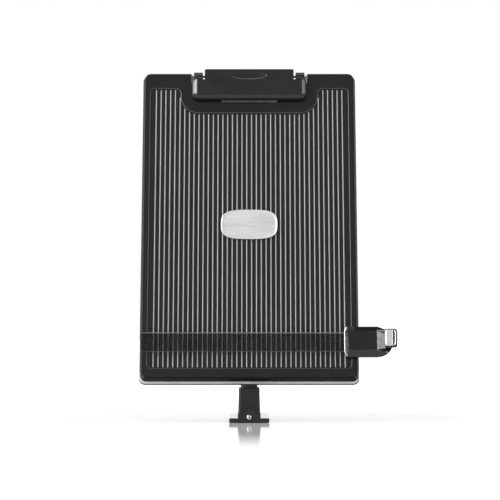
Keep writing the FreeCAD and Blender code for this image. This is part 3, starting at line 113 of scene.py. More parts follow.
# Each lamp is its place, its width and its height, all in metres
LEFT_LAMP = ((-1.4, -0.9, 1.35), 0.9, 0.9)
RIGHT_LAMP = ((1.5, -0.8, 1.1), 0.6, 0.8)
TOP_LAMP = ((0, -0.2, 1.7), 1.2, 0.8)
LAMP_TARGET = (0, 0, 0.2)
TABLE_REACH = 4.0

# The lift to white starts and ends at these shares of the distance where the table turns matt
LIFT_START, LIFT_END = 0.35, 1.1

# Noise seldom leaves this range
NOISE_LOW, NOISE_HIGH = 0.3, 0.7

# Colours of small pieces
ZINC = (0.6, 0.6, 0.58)
NICKEL = (0.55, 0.55, 0.55)
SPRING_STEEL = (0.5, 0.5, 0.5)
NYLON = (0.2, 0.2, 0.2)
# Grey of the guide's bead, a painted highlight
HIGHLIGHT_GREY = (0.16, 0.16, 0.16)
GRIP_GREY = (0.11, 0.11, 0.11)
BLACK_OXIDE = (0.03, 0.03, 0.03)
FOOT_RUBBER = (0.03, 0.03, 0.03)
DEEP_BLACK = (0.004, 0.004, 0.004)


class HolderColours(bpy.types.PropertyGroup):
    """Colours of the holder's finishes."""

    moulding: bpy.props.FloatVectorProperty(
        name="Moulding", description="Black plastic of the board", subtype="COLOR", size=3, min=0, max=1,
        default=(0.0115, 0.0115, 0.012))
    # The rib crest colour is a painted highlight on the glossy ribs
    crest: bpy.props.FloatVectorProperty(
        name="Rib crest", description="Painted highlight on the rib crests", subtype="COLOR", size=3, min=0, max=1,
        default=(0.3, 0.3, 0.3))
    polish: bpy.props.FloatVectorProperty(
        name="Polished moulding", description="Glossy black plastic of clip and slider", subtype="COLOR",
        size=3, min=0, max=1, default=(0.008, 0.008, 0.0085))
    enamel: bpy.props.FloatVectorProperty(
        name="Enamel", description="Black enamel of foot and bracket", subtype="COLOR", size=3, min=0,
        max=1, default=(0.006, 0.006, 0.0065))
    badge: bpy.props.FloatVectorProperty(
        name="Badge", description="Brushed metal of the badge", subtype="COLOR", size=3, min=0, max=1,
        default=(0.74, 0.74, 0.74))
    lever: bpy.props.FloatVectorProperty(
        name="Lever", description="Silver plate of the brake lever", subtype="COLOR", size=3, min=0, max=1,
        default=(0.76, 0.76, 0.77))
    smoke: bpy.props.FloatVectorProperty(
        name="Smoke", description="Tint of the see-through guide", subtype="COLOR", size=3, min=0, max=1,
        default=(0.4, 0.4, 0.415))
    table: bpy.props.FloatVectorProperty(
        name="Table", description="Pale table and backdrop", subtype="COLOR", size=3, min=0, max=1,
        default=(0.92, 0.92, 0.92))


class HolderSizes(bpy.types.PropertyGroup):
    """Sizes of the pieces that the scene adds."""

    badge_width: bpy.props.FloatProperty(
        name="Badge width", description="Badge's outline across the board", default=61.2 * MM, min=0.04,
        unit="LENGTH")
    badge_height: bpy.props.FloatProperty(
        name="Badge height", description="Badge's outline up the board", default=33.6 * MM, min=0.033,
        unit="LENGTH")
    trim_stand: bpy.props.FloatProperty(
        name="Trim", description="Bright strip off the lower wall", default=0.8 * MM, min=0, unit="LENGTH")
    lip_stand: bpy.props.FloatProperty(
        name="Lip", description="Dark lip off the lower wall", default=1.5 * MM, min=0, unit="LENGTH")
    bead_radius: bpy.props.FloatProperty(
        name="Bead", description="Radius of the painted highlight bead on the guide's upper edge", default=0.5 * MM, min=0,
        unit="LENGTH")


class HolderStage(bpy.types.PropertyGroup):
    """Camera, lamps and what gloss sees."""

    camera_distance: bpy.props.FloatProperty(
        name="Camera distance", description="Camera before the post", default=2.6769, min=1, unit="LENGTH")
    camera_height: bpy.props.FloatProperty(
        name="Camera height", description="Camera above the table", default=0.1447, min=0, unit="LENGTH")
    camera_side: bpy.props.FloatProperty(
        name="Camera side", description="Camera right of the post", default=0.00085, unit="LENGTH")
    camera_pitch: bpy.props.FloatProperty(
        name="Camera pitch", description="Camera turned upwards", default=0.0149, unit="ROTATION")
    lens: bpy.props.FloatProperty(
        name="Lens", description="Focal length in millimetres", default=179.7, min=20)
    key_power: bpy.props.FloatProperty(
        name="Left lamp", description="Power of the lamp at the left", default=16, min=0, unit="POWER")
    fill_power: bpy.props.FloatProperty(
        name="Right lamp", description="Power of the lamp at the right", default=6, min=0, unit="POWER")
    top_power: bpy.props.FloatProperty(
        name="Top lamp", description="Power of the lamp above", default=6, min=0, unit="POWER")
    soft: bpy.props.FloatProperty(
        name="Soft light", description="World's light on dull surfaces", default=0.5, min=0)
    front: bpy.props.FloatProperty(
        name="Front gloss", description="Brightness that gloss sees before the object", default=0.34,
        min=0, max=1)
    left_wall: bpy.props.FloatProperty(
        name="Left wall", description="Brightness that gloss sees at the left", default=8.5, min=0)
    right_wall: bpy.props.FloatProperty(
        name="Right wall", description="Brightness that gloss sees at the right", default=2.5, min=0)
    lift: bpy.props.FloatProperty(
        name="Table lift", description="White that the camera sees on the table", default=0.05, min=0,
        max=1)
    gloss_near: bpy.props.FloatProperty(
        name="Polish", description="Table is polished this far from the post", default=0.2, min=0,
        unit="LENGTH")
    gloss_far: bpy.props.FloatProperty(
        name="Matt", description="Table is matt from here on", default=0.66, min=0, unit="LENGTH")


class Finish:
    """A node material with one principled shader, and short calls for the nodes round it."""

    def __init__(self, name, colour, roughness, **sockets):
        self.material = bpy.data.materials.new(name)
        self.material.use_nodes = True
        self.tree = self.material.node_tree
        self.shader = self.tree.nodes["Principled BSDF"]
        self.shader.inputs["Base Color"].default_value = (*colour, 1)
        self.shader.inputs["Roughness"].default_value = roughness
        for socket, number in sockets.items():
            self.shader.inputs[socket.replace("_", " ")].default_value = number
        self.coordinates = self.node("ShaderNodeTexCoord")

    def node(self, kind, **values):
        """A new node with some of its properties or inputs set."""
        made = self.tree.nodes.new(kind)
        for key, number in values.items():
            if hasattr(made, key):
                setattr(made, key, number)
            else:
                made.inputs[key.replace("_", " ")].default_value = number
        return made

    def link(self, start, end):
        self.tree.links.new(start, end)

    def place(self, turn=(0, 0, 0), stretch=(1, 1, 1)):
        """Object coordinates, turned and stretched."""
        mapping = self.node("ShaderNodeMapping")
        mapping.inputs["Rotation"].default_value = turn
        mapping.inputs["Scale"].default_value = stretch
        self.link(self.coordinates.outputs["Object"], mapping.inputs["Vector"])
        return mapping.outputs["Vector"]

    def noise(self, where, scale, detail=3, roughness=0.5):
        """Noise between 0 and 1."""
        made = self.node("ShaderNodeTexNoise", Scale=scale, Detail=detail, Roughness=roughness)
        self.link(where, made.inputs["Vector"])
        return made.outputs["Fac"]

    def spread(self, source, low, high, start=NOISE_LOW, end=NOISE_HIGH):
        """The source's range from start to end mapped to the one from low to high."""
        made = self.node("ShaderNodeMapRange", From_Min=start, From_Max=end, To_Min=low, To_Max=high)
        self.link(source, made.inputs["Value"])
        return made.outputs["Result"]

    def joined(self, operation, first, second):
        """Two numbers joined by a Math node."""
        made = self.node("ShaderNodeMath", operation=operation)
        self.link(first, made.inputs[0])
        self.link(second, made.inputs[1])
        return made.outputs["Value"]

    def along(self, direction):
        """How far the Object coordinates lie from the board's CORNER along a direction, in metres."""
        shift = self.node("ShaderNodeVectorMath", operation="SUBTRACT")
        shift.inputs[1].default_value = tuple(CORNER)
        self.link(self.coordinates.outputs["Object"], shift.inputs[0])
        reach = self.node("ShaderNodeVectorMath", operation="DOT_PRODUCT")
        reach.inputs[1].default_value = tuple(direction)
        self.link(shift.outputs["Vector"], reach.inputs[0])
        return reach.outputs["Value"]

    def between(self, direction, low, high, soft):
        """1 between two places along a direction, given in millimetres, with soft ends."""
        source = self.along(direction)
        rise = self.spread(source, 0.0, 1.0, (low - soft) * MM, low * MM)
        fall = self.spread(source, 1.0, 0.0, high * MM, (high + soft) * MM)
        return self.joined("MULTIPLY", rise, fall)

    def inside(self, half_width, low, high, soft):
        """1 inside a rectangle of the board's face, given in millimetres, with soft edges."""
        return self.joined("MULTIPLY", self.between(ACROSS, -half_width, half_width, soft),
                           self.between(UP, low, high, soft))

    def blend(self, mask, colour):
        """Put another colour over the base colour where the mask is 1."""
        before = self.shader.inputs["Base Color"].links[0].from_socket
        mixed = self.node("ShaderNodeMix", data_type="RGBA")
        self.link(mask, mixed.inputs["Factor"])
        self.link(before, mixed.inputs["A"])
        mixed.inputs["B"].default_value = (*colour, 1)
        self.link(mixed.outputs["Result"], self.shader.inputs["Base Color"])

    def tint(self, source, colour, dark, light):
        """The base colour between a darker and a lighter shade, by a noise."""
        ramp = self.node("ShaderNodeValToRGB")
        ramp.color_ramp.elements[0].color = (*shade(colour, dark), 1)
        ramp.color_ramp.elements[0].position = NOISE_LOW
        ramp.color_ramp.elements[1].color = (*shade(colour, light), 1)
        ramp.color_ramp.elements[1].position = NOISE_HIGH
        self.link(source, ramp.inputs["Fac"])
        self.link(ramp.outputs["Color"], self.shader.inputs["Base Color"])

    def rough(self, source, low, high):
        """The roughness between two numbers, by a noise."""
        self.link(self.spread(source, low, high), self.shader.inputs["Roughness"])

    def bumps(self, *layers):
        """Bump nodes one after another, each from a source, a height in metres and a strength."""
        before = None
        for source, height, strength in layers:
            bump = self.node("ShaderNodeBump", Strength=strength, Distance=height)
            self.link(source, bump.inputs["Height"])
            if before:
                self.link(before.outputs["Normal"], bump.inputs["Normal"])
            before = bump
        self.link(before.outputs["Normal"], self.shader.inputs["Normal"])


def shade(colour, factor):
    """A colour made darker or lighter."""
    return tuple(min(1, part * factor) for part in colour)


def moulded(name, colour, roughness, grain=0.00002, coat=0.0):
    """Moulded plastic: fine grain, faint cloudy tone, uneven gloss."""
    made = Finish(name, colour, roughness, Specular_IOR_Level=FACE_SPECULAR, Coat_Weight=coat,
                  Coat_Roughness=0.08)
    where = made.place()
    made.tint(made.noise(where, scale=22), colour, dark=0.86, light=1.14)
    made.rough(made.noise(where, scale=60, detail=5), roughness * 0.88, roughness * 1.12)
    made.bumps((made.noise(where, scale=1400, detail=4), grain, 0.6),
               (made.noise(where, scale=320, detail=2), grain * 1.5, 0.25))
    return made


def brushed(name, colour, roughness, turn=(0, 0, 0), stretch=(1, 1, 1), metallic=1.0):
    """Brushed metal: scratches drawn out along one direction."""
    made = Finish(name, colour, roughness, Metallic=metallic, Anisotropic=0.3)
    where = made.place(turn, stretch)
    lines = made.noise(where, scale=900, detail=4, roughness=0.65)
    made.tint(made.noise(where, scale=300), colour, dark=0.9, light=1.08)
    made.rough(lines, roughness * 0.8, roughness * 1.3)
    made.bumps((lines, 0.000012, 0.5))
    return made


def plated(name, colour, roughness, metallic=1.0):
    """Plated metal: smooth with faint clouds and pits."""
    made = Finish(name, colour, roughness, Metallic=metallic)
    where = made.place()
    made.tint(made.noise(where, scale=90), colour, dark=0.92, light=1.06)
    made.rough(made.noise(where, scale=240, detail=4), roughness * 0.7, roughness * 1.4)
    made.bumps((made.noise(where, scale=1800, detail=2), 0.000006, 0.35))
    return made


def enamelled(name, colour, roughness):
    """Stoved enamel on steel: glossy with a slight orange peel."""
    made = Finish(name, colour, roughness, Coat_Weight=0.6, Coat_Roughness=0.05)
    where = made.place()
    made.tint(made.noise(where, scale=35), colour, dark=0.85, light=1.2)
    made.rough(made.noise(where, scale=130, detail=4), roughness * 0.8, roughness * 1.3)
    made.bumps((made.noise(where, scale=420, detail=2), 0.00003, 0.3))
    return made


def rubbery(name, colour):
    """Matt rubber: dull with a dusty bloom."""
    made = Finish(name, colour, 0.75, Specular_IOR_Level=0.3)
    where = made.place()
    made.tint(made.noise(where, scale=160, detail=5), colour, dark=0.75, light=1.4)
    made.rough(made.noise(where, scale=500), 0.62, 0.88)
    made.bumps((made.noise(where, scale=1200), 0.00004, 0.6))
    return made


def smoked(name, colour):
    """Smoked clear plastic: see-through, tinted, with faint ripples and fine wear."""
    made = Finish(name, colour, 0.06, Transmission_Weight=1.0, IOR=1.3)
    where = made.place(turn=(-LEAN, 0, 0), stretch=(0.25, 1, 1))
    made.tint(made.noise(where, scale=90), colour, dark=0.94, light=1.06)
    made.rough(made.noise(where, scale=700, detail=4), 0.03, 0.12)
    made.bumps((made.noise(where, scale=60, detail=2), 0.00002, 0.2))
    return made


def paint_rib_highlights(made, colour):
    """Paint a highlight on the crests of the board's ribs: a pale colour in a band of depth inside the
    field.
    """
    crest = made.between(OUT, RIB_HIGHLIGHT_FROM, RIB_CREST, RIB_SOFT)
    field = made.inside(FIELD_HALF, FIELD_LOW, FIELD_HIGH, soft=1)
    made.blend(made.joined("MULTIPLY", crest, field), colour)


def dull_walls(made):
    """Take the gloss off the board's rounded edge and its walls."""
    face = made.inside(RIM_HALF, RIM_LOW, RIM_HIGH, soft=0.2)
    level = made.spread(face, WALL_SPECULAR, FACE_SPECULAR, 0, 1)
    made.link(level, made.shader.inputs["Specular IOR Level"])


def paint_thumb_shade(made, colour):
    """Give the lever's thumb piece another colour than its neck: a dark painted shade, like the shaded
    outline round the thumb.
    """
    thumb = made.spread(made.along(ACROSS), 0.0, 1.0, THUMB_LEFT * MM, (THUMB_LEFT + THUMB_SOFT) * MM)
    made.blend(thumb, colour)


def dress(finish, *names):
    """Put one finish on CAD nodes."""
    for name in names:
        node = frame["nodes"][name]
        node.data.materials.clear()
        node.data.materials.append(finish.material)


def pale_table(colour, near, far, lift):
    """A pale table: polished near the post and matt further off, with a lift to white for the camera."""
    made = Finish("pale_table", colour, 0.5, Specular_IOR_Level=0.5)
    where = made.place()
    made.tint(made.noise(where, scale=6, detail=2), colour, dark=0.995, light=1.005)
    made.rough(made.noise(where, scale=30), 0.07, 0.09)
    distance = made.node("ShaderNodeVectorMath", operation="LENGTH")
    made.link(where, distance.inputs[0])
    matt = made.spread(distance.outputs["Value"], 0.0, 1.0, near, far)
    plain = made.node("ShaderNodeBsdfDiffuse", Color=(*colour, 1))
    mixed = made.node("ShaderNodeMixShader")
    made.link(matt, mixed.inputs["Fac"])
    made.link(made.shader.outputs["BSDF"], mixed.inputs[1])
    made.link(plain.outputs["BSDF"], mixed.inputs[2])
    path = made.node("ShaderNodeLightPath")
    seen = made.joined("MAXIMUM", path.outputs["Is Camera Ray"], path.outputs["Is Transmission Ray"])
    white = made.spread(distance.outputs["Value"], lift, 1, LIFT_START * far, LIFT_END * far)
    glow = made.node("ShaderNodeEmission")
    made.link(made.joined("MULTIPLY", seen, white), glow.inputs["Strength"])
    both = made.node("ShaderNodeAddShader")
    made.link(mixed.outputs["Shader"], both.inputs[0])
    made.link(glow.outputs["Emission"], both.inputs[1])
    made.link(both.outputs["Shader"], made.tree.nodes["Material Output"].inputs["Surface"])
    return made


class Studio:
    """A world: white to the camera and through glass, and to gloss a room with a lit wall at each side."""

    # Each part of the room fades between two values of a direction's X, Y or Z
    LEFT_WALL, RIGHT_WALL = (-0.55, -0.3), (0.45, 0.62)
    WALL_BACK, WALL_FOOT, WALL_TOP = (0.7, 0.84), (0.12, 0.26), (0.62, 0.85)
    BEHIND = (0.98, 0.99)
    FOOT_SHARE, TOP_SHARE = 0.06, 0.04

    def __init__(self, soft, front, left, right):
        world = bpy.data.worlds.new("studio")
        world.use_nodes = True
        self.tree = world.node_tree
        background = self.tree.nodes["Background"]
        background.inputs["Color"].default_value = (1, 1, 1, 1)
        path = self.tree.nodes.new("ShaderNodeLightPath")
        is_gloss = path.outputs["Is Glossy Ray"]
        plain = self.math("MAXIMUM", path.outputs["Is Camera Ray"], path.outputs["Is Transmission Ray"])
        gloss = self.math("MULTIPLY", is_gloss, self.room(front, left, right))
        other = self.math("SUBTRACT", self.math("SUBTRACT", 1.0, plain), is_gloss)
        rest = self.math("MULTIPLY", self.math("MAXIMUM", other, 0.0), soft)
        total = self.math("ADD", self.math("MAXIMUM", plain, gloss), rest)
        self.tree.links.new(total, background.inputs["Strength"])
        bpy.context.scene.world = world

    def room(self, front, left, right):
        """What gloss sees: white straight behind the object, a raised wall left and right, dim overhead."""
        where = self.tree.nodes.new("ShaderNodeTexCoord")
        split = self.tree.nodes.new("ShaderNodeSeparateXYZ")
        self.tree.links.new(where.outputs["Generated"], split.inputs["Vector"])
        x, y, z = split.outputs
        behind = self.fade(y, self.BEHIND, front, 1)
        walls = self.math("MAXIMUM", self.fade(x, self.LEFT_WALL, left, 0),
                          self.fade(x, self.RIGHT_WALL, 0, right))
        near = self.math("MULTIPLY", walls, self.fade(y, self.WALL_BACK, 1, 0))
        high = self.math("MULTIPLY", near, self.fade(z, self.WALL_FOOT, self.FOOT_SHARE, 1))
        above = self.fade(z, self.WALL_TOP, 1, self.TOP_SHARE)
        return self.math("MULTIPLY", self.math("MAXIMUM", behind, high), above)

    def fade(self, source, ends, low, high):
        """A smooth step from low to high between two ends."""
        made = self.tree.nodes.new("ShaderNodeMapRange")
        made.interpolation_type = "SMOOTHSTEP"
        for key, number in zip(("From Min", "From Max", "To Min", "To Max"), (*ends, low, high)):
            made.inputs[key].default_value = number
        self.tree.links.new(source, made.inputs["Value"])
        return made.outputs["Result"]

    def math(self, kind, *sources):
        """A Math node on sockets or plain numbers."""
        made = self.tree.nodes.new("ShaderNodeMath")
        made.operation = kind
        for socket, source in zip(made.inputs, sources):
            if isinstance(source, float):
                socket.default_value = source
            else:
                self.tree.links.new(source, socket)
        return made.outputs["Value"]


def lamp(name, place, width, height, power):
    """A rectangular area lamp that shines at LAMP_TARGET."""
    light = bpy.data.lights.new(name, "AREA")
    light.shape = "RECTANGLE"
    light.size, light.size_y = width, height
    light.energy = power
    made = bpy.data.objects.new(name, light)
    made.location = place
    made.rotation_euler = (Vector(LAMP_TARGET) - Vector(place)).to_track_quat("-Z", "Y").to_euler()
    bpy.context.scene.collection.objects.link(made)


def on_board(u, v, w):
    """Points from millimetres across, up and out of the board's face."""
    u, v, w = np.broadcast_arrays(u, v, w)
    return CORNER + MM * (u[..., None] * ACROSS + v[..., None] * UP + w[..., None] * OUT)


def into_mesh(name, points, faces):
    """A new object in the scene from points and faces."""
    mesh = bpy.data.meshes.new(name)
    mesh.from_pydata(points, [], faces)
    made = bpy.data.objects.new(name, mesh)
    bpy.context.scene.collection.objects.link(made)
    return made


def quads_between(low, high):
    """Quads between two stacks of rows of vertex numbers."""
    return np.stack([low[:, :-1], low[:, 1:], high[:, 1:], high[:, :-1]], -1).reshape(-1, 4).tolist()


def numbered(grid):
    """Vertex numbers for the rows of a grid of points."""
    rows, columns = grid.shape[:2]
    return np.arange(rows * columns).reshape(rows, columns)


def closed_rows(loops):
    """Vertex numbers for loops of points, each row ending on its first number."""
    index = numbered(loops)
    return np.c_[index, index[:, :1]]


def surface(name, grid):
    """A mesh through a grid of points."""
    index = numbered(grid)
    return into_mesh(name, grid.reshape(-1, 3), quads_between(index[:-1], index[1:]))


def rings(name, loops):
    """A closed skin over loops of points, with a fan to the middle of the first and last loop."""
    rows = closed_rows(loops)
    faces = quads_between(rows[:-1], rows[1:])
    count = loops.shape[0] * loops.shape[1]
    first, last = np.full(loops.shape[1], count), np.full(loops.shape[1], count + 1)
    faces += np.stack([rows[0, 1:], rows[0, :-1], first], -1).tolist()
    faces += np.stack([rows[-1, :-1], rows[-1, 1:], last], -1).tolist()
    points = np.concatenate([loops.reshape(-1, 3), [loops[0].mean(0)], [loops[-1].mean(0)]])
    return solid(into_mesh(name, points, faces))


def hoop(name, loops):
    """A closed ring over loops of points: the last loop is joined to the first."""
    rows = closed_rows(loops)
    return solid(into_mesh(name, loops.reshape(-1, 3), quads_between(rows, np.roll(rows, -1, 0))))


def solid(made):
    """Turn a closed skin's faces outwards, and shade it smooth up to SHARP."""
    shell = bmesh.new()
    shell.from_mesh(made.data)
    bmesh.ops.recalc_face_normals(shell, faces=shell.faces)
    shell.to_mesh(made.data)
    shell.free()
    made.data.shade_smooth()
    made.data.set_sharp_from_angle(angle=SHARP)
    return made


def full_turn(count):
    """Angles that divide a full turn evenly."""
    return np.linspace(0, 2 * math.pi, count, endpoint=False)


def oval(half_width, half_height, power, count, inset):
    """Loops of a superellipse, |u / a|^n + |v / b|^n = 1, drawn in by a column of insets."""
    cos, sin = np.cos(full_turn(count)), np.sin(full_turn(count))
    u = np.sign(cos) * np.abs(cos) ** (2 / power) * (half_width - inset)
    v = np.sign(sin) * np.abs(sin) ** (2 / power) * (half_height - inset)
    return u, v


def badge_plate(width, height):
    """The badge: superellipse loops stepped inwards over a rolled rim to a dish."""
    inset, rise = np.hsplit(np.array(BADGE_LOOPS), 2)
    u, v = oval(width / 2, height / 2, BADGE_POWER, BADGE_POINTS, inset)
    return rings("badge_face", on_board(u, BADGE_UP + v, rise))


def thumb_plate(name, join, left, right, half_height, loops):
    """A plate on the lever's thumb piece, whose face slopes by THUMB_SLOPE: superellipse loops."""
    inset, rise = np.hsplit(np.array(loops), 2)
    u, v = oval((right - left) / 2, half_height, THUMB_POWER, THUMB_POINTS, inset)
    u = u + (left + right) / 2
    return join(name, on_board(u, THUMB_V + v, THUMB_FRONT + rise + THUMB_SLOPE * (u - THUMB_U)))


def guide_edge(name, up, out, radius):
    """A bead along the guide: circles of one radius carried straight across the board."""
    across = np.linspace(-GUIDE_LEFT, GUIDE_RIGHT, BEAD_LOOPS)[:, None]
    turn = full_turn(BEAD_POINTS)
    return rings(name, on_board(across, up + radius * np.cos(turn), out + radius * np.sin(turn)))


def cap_edge_highlight():
    """A painted highlight down the slider cap's left bevel: a bright bead, thick at both corners, of
    circles carried along a path.
    """
    cut, middle = EDGE_CUT, EDGE_CUT / 2
    upper = np.array([(cut, cut), (middle, middle), (0, -EDGE_TAPER)]) + (EDGE_LEFT, EDGE_HALF)
    mirror = np.array([1, -1])
    path = np.concatenate([upper, upper[::-1] * mirror])
    outward = np.concatenate([EDGE_OUTWARD, EDGE_OUTWARD[::-1] * mirror])
    radius = np.array(EDGE_RADII + EDGE_RADII[::-1])[:, None]
    turn = full_turn(BEAD_POINTS)
    reach = radius * np.cos(turn)
    u = path[:, :1] + outward[:, :1] * reach
    v = GUIDE_MIDDLE + path[:, 1:] + outward[:, 1:] * reach
    return rings("cap_edge_highlight", on_board(u, v, EDGE_OUT + radius * np.sin(turn)))


def lower_strip(name, depths, stands):
    """A strip round the lower wall: a flat section carried down a side, round a corner and below.

    At depth w the wall stands off the face's outline by FLARE * -w / BOARD_DEPTH. The strip stands off the
    wall fully underneath, and by STRIP_SIDE_SHARE of that at the sides.
    """
    back, front = depths
    w = np.array([back, back + STRIP_BEVEL, front - STRIP_BEVEL, front])
    proud = np.array([-STRIP_SUNK, stands, stands, -STRIP_SUNK])
    off = FLARE * -w / BOARD_DEPTH
    middle_u, middle_v = -(FACE_HALF + off) + CORNER_ROUND, CORNER_ROUND - off
    flat, still = np.full(SIDE_LOOPS, math.pi), np.zeros(CORNER_LOOPS)
    turn = np.r_[flat, np.linspace(math.pi, 1.5 * math.pi, CORNER_LOOPS)][:, None]
    lift = np.r_[np.linspace(STRIP_RISE, 0, SIDE_LOOPS, endpoint=False), still][:, None]
    fade = np.r_[np.linspace(0, 1, SIDE_LOOPS), still + 1][:, None]
    share = STRIP_SIDE_SHARE - (1 - STRIP_SIDE_SHARE) * np.sin(turn)
    out = CORNER_ROUND + np.where(proud > 0, proud * fade * share, proud)
    u = middle_u + out * np.cos(turn)
    v = middle_v + out * np.sin(turn) + lift
    along = np.linspace(-1, 1, BOTTOM_LOOPS + 2)[1:-1, None]
    u = np.r_[u, -along * middle_u, -u[::-1]]
    v = np.r_[v, np.broadcast_to(v[-1], (BOTTOM_LOOPS, len(w))), v[::-1]]
    return rings(name, on_board(u, v, w))


def table_top(name):
    """A flat grid: x and y run evenly over a square, z is 0."""
    ticks = np.linspace(-TABLE_REACH, TABLE_REACH, 5)
    x, y = np.meshgrid(ticks, ticks, indexing="xy")
    return surface(name, np.stack([x, y, np.zeros_like(x)], -1))


class HOLDER_OT_stage(bpy.types.Operator):
    """Table, world, lamps and camera"""

    bl_idname = "holder.stage"
    bl_label = "Stage"

    def execute(self, context):
        scene = context.scene
        colours, stage = scene.holder_colours, scene.holder_stage
        scene.view_settings.view_transform = "Standard"
        Studio(stage.soft, stage.front, stage.left_wall, stage.right_wall)
        table = table_top("table")
        finish = pale_table(colours.table, stage.gloss_near, stage.gloss_far, stage.lift)
        table.data.materials.append(finish.material)
        lamp("left_lamp", *LEFT_LAMP, stage.key_power)
        lamp("right_lamp", *RIGHT_LAMP, stage.fill_power)
        lamp("top_lamp", *TOP_LAMP, stage.top_power)
        camera = bpy.data.objects.new("camera", bpy.data.cameras.new("camera"))
        camera.data.lens = stage.lens
        camera.location = (stage.camera_side, -stage.camera_distance, stage.camera_height)
        camera.rotation_euler = (math.pi / 2 + stage.camera_pitch, 0, 0)
        scene.collection.objects.link(camera)
        scene.camera = camera
        return {"FINISHED"}


class HOLDER_OT_board(bpy.types.Operator):
    """Ribbed board, its cover, badge, strips and screws"""

    bl_idname = "holder.board"
    bl_label = "Board"

    def execute(self, context):
        colours, sizes = context.scene.holder_colours, context.scene.holder_sizes
        panel = moulded("board_plastic", colours.moulding, roughness=0.23)
        # The pale rib crests are a painted highlight
        paint_rib_highlights(panel, colours.crest)
        dull_walls(panel)
        dress(panel, "front_panel")
        dress(moulded("cover_plastic", colours.moulding, roughness=0.5, grain=0.00005), "rear_cover")
        dress(enamelled("black_oxide", BLACK_OXIDE, roughness=0.35), "cover_screws", "bracket_screws",
              "grub_screw")
        brush = brushed("badge_metal", colours.badge, roughness=0.32, turn=(-LEAN, 0, 0),
                        stretch=(0.06, 1, 1), metallic=0.35)
        badge = badge_plate(sizes.badge_width / MM, sizes.badge_height / MM)
        badge.data.materials.append(brush.material)
        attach(badge, "board")
        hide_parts("badge_plate")
        foil = plated("trim_foil", shade(colours.lever, 0.88), roughness=0.4, metallic=0.3)
        trim = lower_strip("lower_trim", TRIM_DEPTHS, sizes.trim_stand / MM)
        trim.data.materials.append(foil.material)
        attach(trim, "board")
        lip = lower_strip("lower_lip", LIP_DEPTHS, sizes.lip_stand / MM)
        lip.data.materials.append(moulded("lip_plastic", colours.polish, roughness=0.5).material)
        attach(lip, "board")
        return {"FINISHED"}


class HOLDER_OT_clip(bpy.types.Operator):
    """Clip lever, its base, rod, springs and rubber"""

    bl_idname = "holder.clip"
    bl_label = "Clip"

    def execute(self, context):
        colours = context.scene.holder_colours
        dress(moulded("clip_plastic", colours.polish, roughness=0.3, grain=0.000008, coat=0.3),
              "clip_lever", "rod_sleeve")
        dress(enamelled("clip_steel", DEEP_BLACK, roughness=0.35), "clip_base", "hinge_rod")
        dress(brushed("spring_wire", SPRING_STEEL, roughness=0.25), "clip_spring_left", "clip_spring_right",
              "lever_spring")
        dress(rubbery("grip_rubber", GRIP_GREY), "grip_pad", "brake_shoe")
        dress(plated("zinc", ZINC, roughness=0.28), "clip_rivets", "blade_screws", "slider_screws",
              "lever_pin", "tilt_bolt", "tilt_nut", "base_screws")
        return {"FINISHED"}


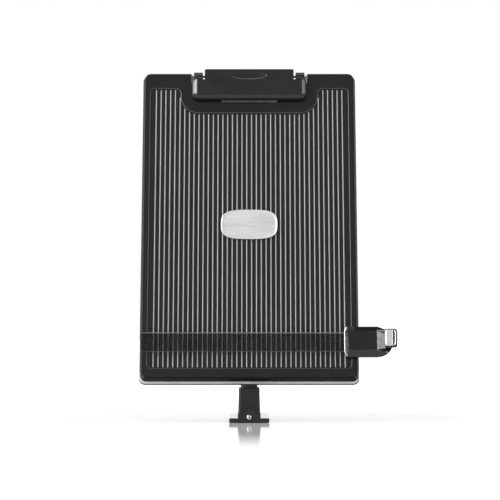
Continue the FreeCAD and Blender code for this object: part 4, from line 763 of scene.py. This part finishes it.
class HOLDER_OT_guide(bpy.types.Operator):
    """See-through guide, slider and brake lever"""

    bl_idname = "holder.guide"
    bl_label = "Line guide"

    def execute(self, context):
        colours, sizes = context.scene.holder_colours, context.scene.holder_sizes
        dress(smoked("smoked_clear", colours.smoke), "guide_blade")
        dress(moulded("slider_plastic", colours.polish, roughness=0.25, grain=0.00001, coat=0.3),
              "slider_body", "slider_cap")
        # The neck is the lever's silver made darker: a painted shade for its sloping facet
        neck = plated("neck_plate_shaded", shade(colours.lever, 0.6), roughness=0.3, metallic=0.4)
        paint_thumb_shade(neck, colours.polish)
        dress(neck, "brake_lever")
        self.thumb(colours)
        # A bright bead that is a painted highlight on the slider cap's glossy left bevel
        bevel = cap_edge_highlight()
        bevel.data.materials.append(plated("bevel_highlight", colours.lever, 0.25, metallic=0.6).material)
        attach(bevel, "guide")
        # The guide's grey bead is a painted highlight on its upper edge, and its black line is a painted
        # shadow under its lower edge
        edges = (("guide_highlight_bead", BEAD_UP, BEAD_OUT, sizes.bead_radius / MM, HIGHLIGHT_GREY),
                 ("guide_shadow_line", SHADOW_UP, SHADOW_OUT, SHADOW_RADIUS, DEEP_BLACK))
        for name, up, out, radius, colour in edges:
            edge = guide_edge(name, up, out, radius)
            edge.data.materials.append(moulded(name + "_plastic", colour, roughness=0.3).material)
            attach(edge, "guide")
        return {"FINISHED"}

    def thumb(self, colours):
        """The seat, dark with painted shade where it shows between and round them, and the bright rim and
        bright pad on the lever's thumb piece.
        """
        silver = plated("silver_plate", shade(colours.lever, 0.85), roughness=0.35, metallic=0.35)
        dark = moulded("seat_shade", colours.polish, roughness=0.35)
        plates = (("thumb_seat", rings, SHADE_SEAT, dark, "gloss_black"),
                  ("thumb_rim", hoop, RIM, silver, "lever_silver"),
                  ("thumb_pad", rings, PAD, silver, "lever_silver"))
        for name, join, form, finish, slot in plates:
            plate = thumb_plate(name, join, *form)
            plate.data.materials.append(finish.material)
            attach(plate, "brake")


class HOLDER_OT_stand(bpy.types.Operator):
    """Bracket, neck, post and foot"""

    bl_idname = "holder.stand"
    bl_label = "Stand"

    def execute(self, context):
        colours = context.scene.holder_colours
        dress(enamelled("bracket_enamel", colours.enamel, roughness=0.3), "tilt_bracket")
        dress(enamelled("foot_enamel", colours.enamel, roughness=0.12), "foot_plate")
        dress(moulded("post_plastic", colours.moulding, roughness=0.34), "post", "swivel_neck", "post_base")
        dress(rubbery("foot_rubber", FOOT_RUBBER), "foot_pad")
        dress(moulded("nylon", NYLON, roughness=0.5), "swivel_washer", "friction_washers")
        dress(plated("nickel", NICKEL, roughness=0.3), "front_screw")
        return {"FINISHED"}


class HOLDER_PT_panel(bpy.types.Panel):
    """The holder's pieces in the sidebar"""

    bl_label = "Copy Holder"
    bl_space_type = "VIEW_3D"
    bl_region_type = "UI"
    bl_category = "Copy Holder"

    def draw(self, context):
        scene = context.scene
        for name in STEPS:
            self.layout.operator("holder." + name)
        for group in (scene.holder_colours, scene.holder_sizes, scene.holder_stage):
            for name in group.__annotations__:
                self.layout.prop(group, name)


STEPS = ("stage", "board", "clip", "guide", "stand")
CLASSES = (HolderColours, HolderSizes, HolderStage, HOLDER_OT_stage, HOLDER_OT_board, HOLDER_OT_clip,
           HOLDER_OT_guide, HOLDER_OT_stand, HOLDER_PT_panel)


def register():
    for item in CLASSES:
        bpy.utils.register_class(item)
    bpy.types.Scene.holder_colours = bpy.props.PointerProperty(type=HolderColours)
    bpy.types.Scene.holder_sizes = bpy.props.PointerProperty(type=HolderSizes)
    bpy.types.Scene.holder_stage = bpy.props.PointerProperty(type=HolderStage)


def unregister():
    del bpy.types.Scene.holder_stage
    del bpy.types.Scene.holder_sizes
    del bpy.types.Scene.holder_colours
    for item in reversed(CLASSES):
        bpy.utils.unregister_class(item)


def main():
    register()
    for name in STEPS:
        getattr(bpy.ops.holder, name)()


if __name__ == "__main__":
    main()
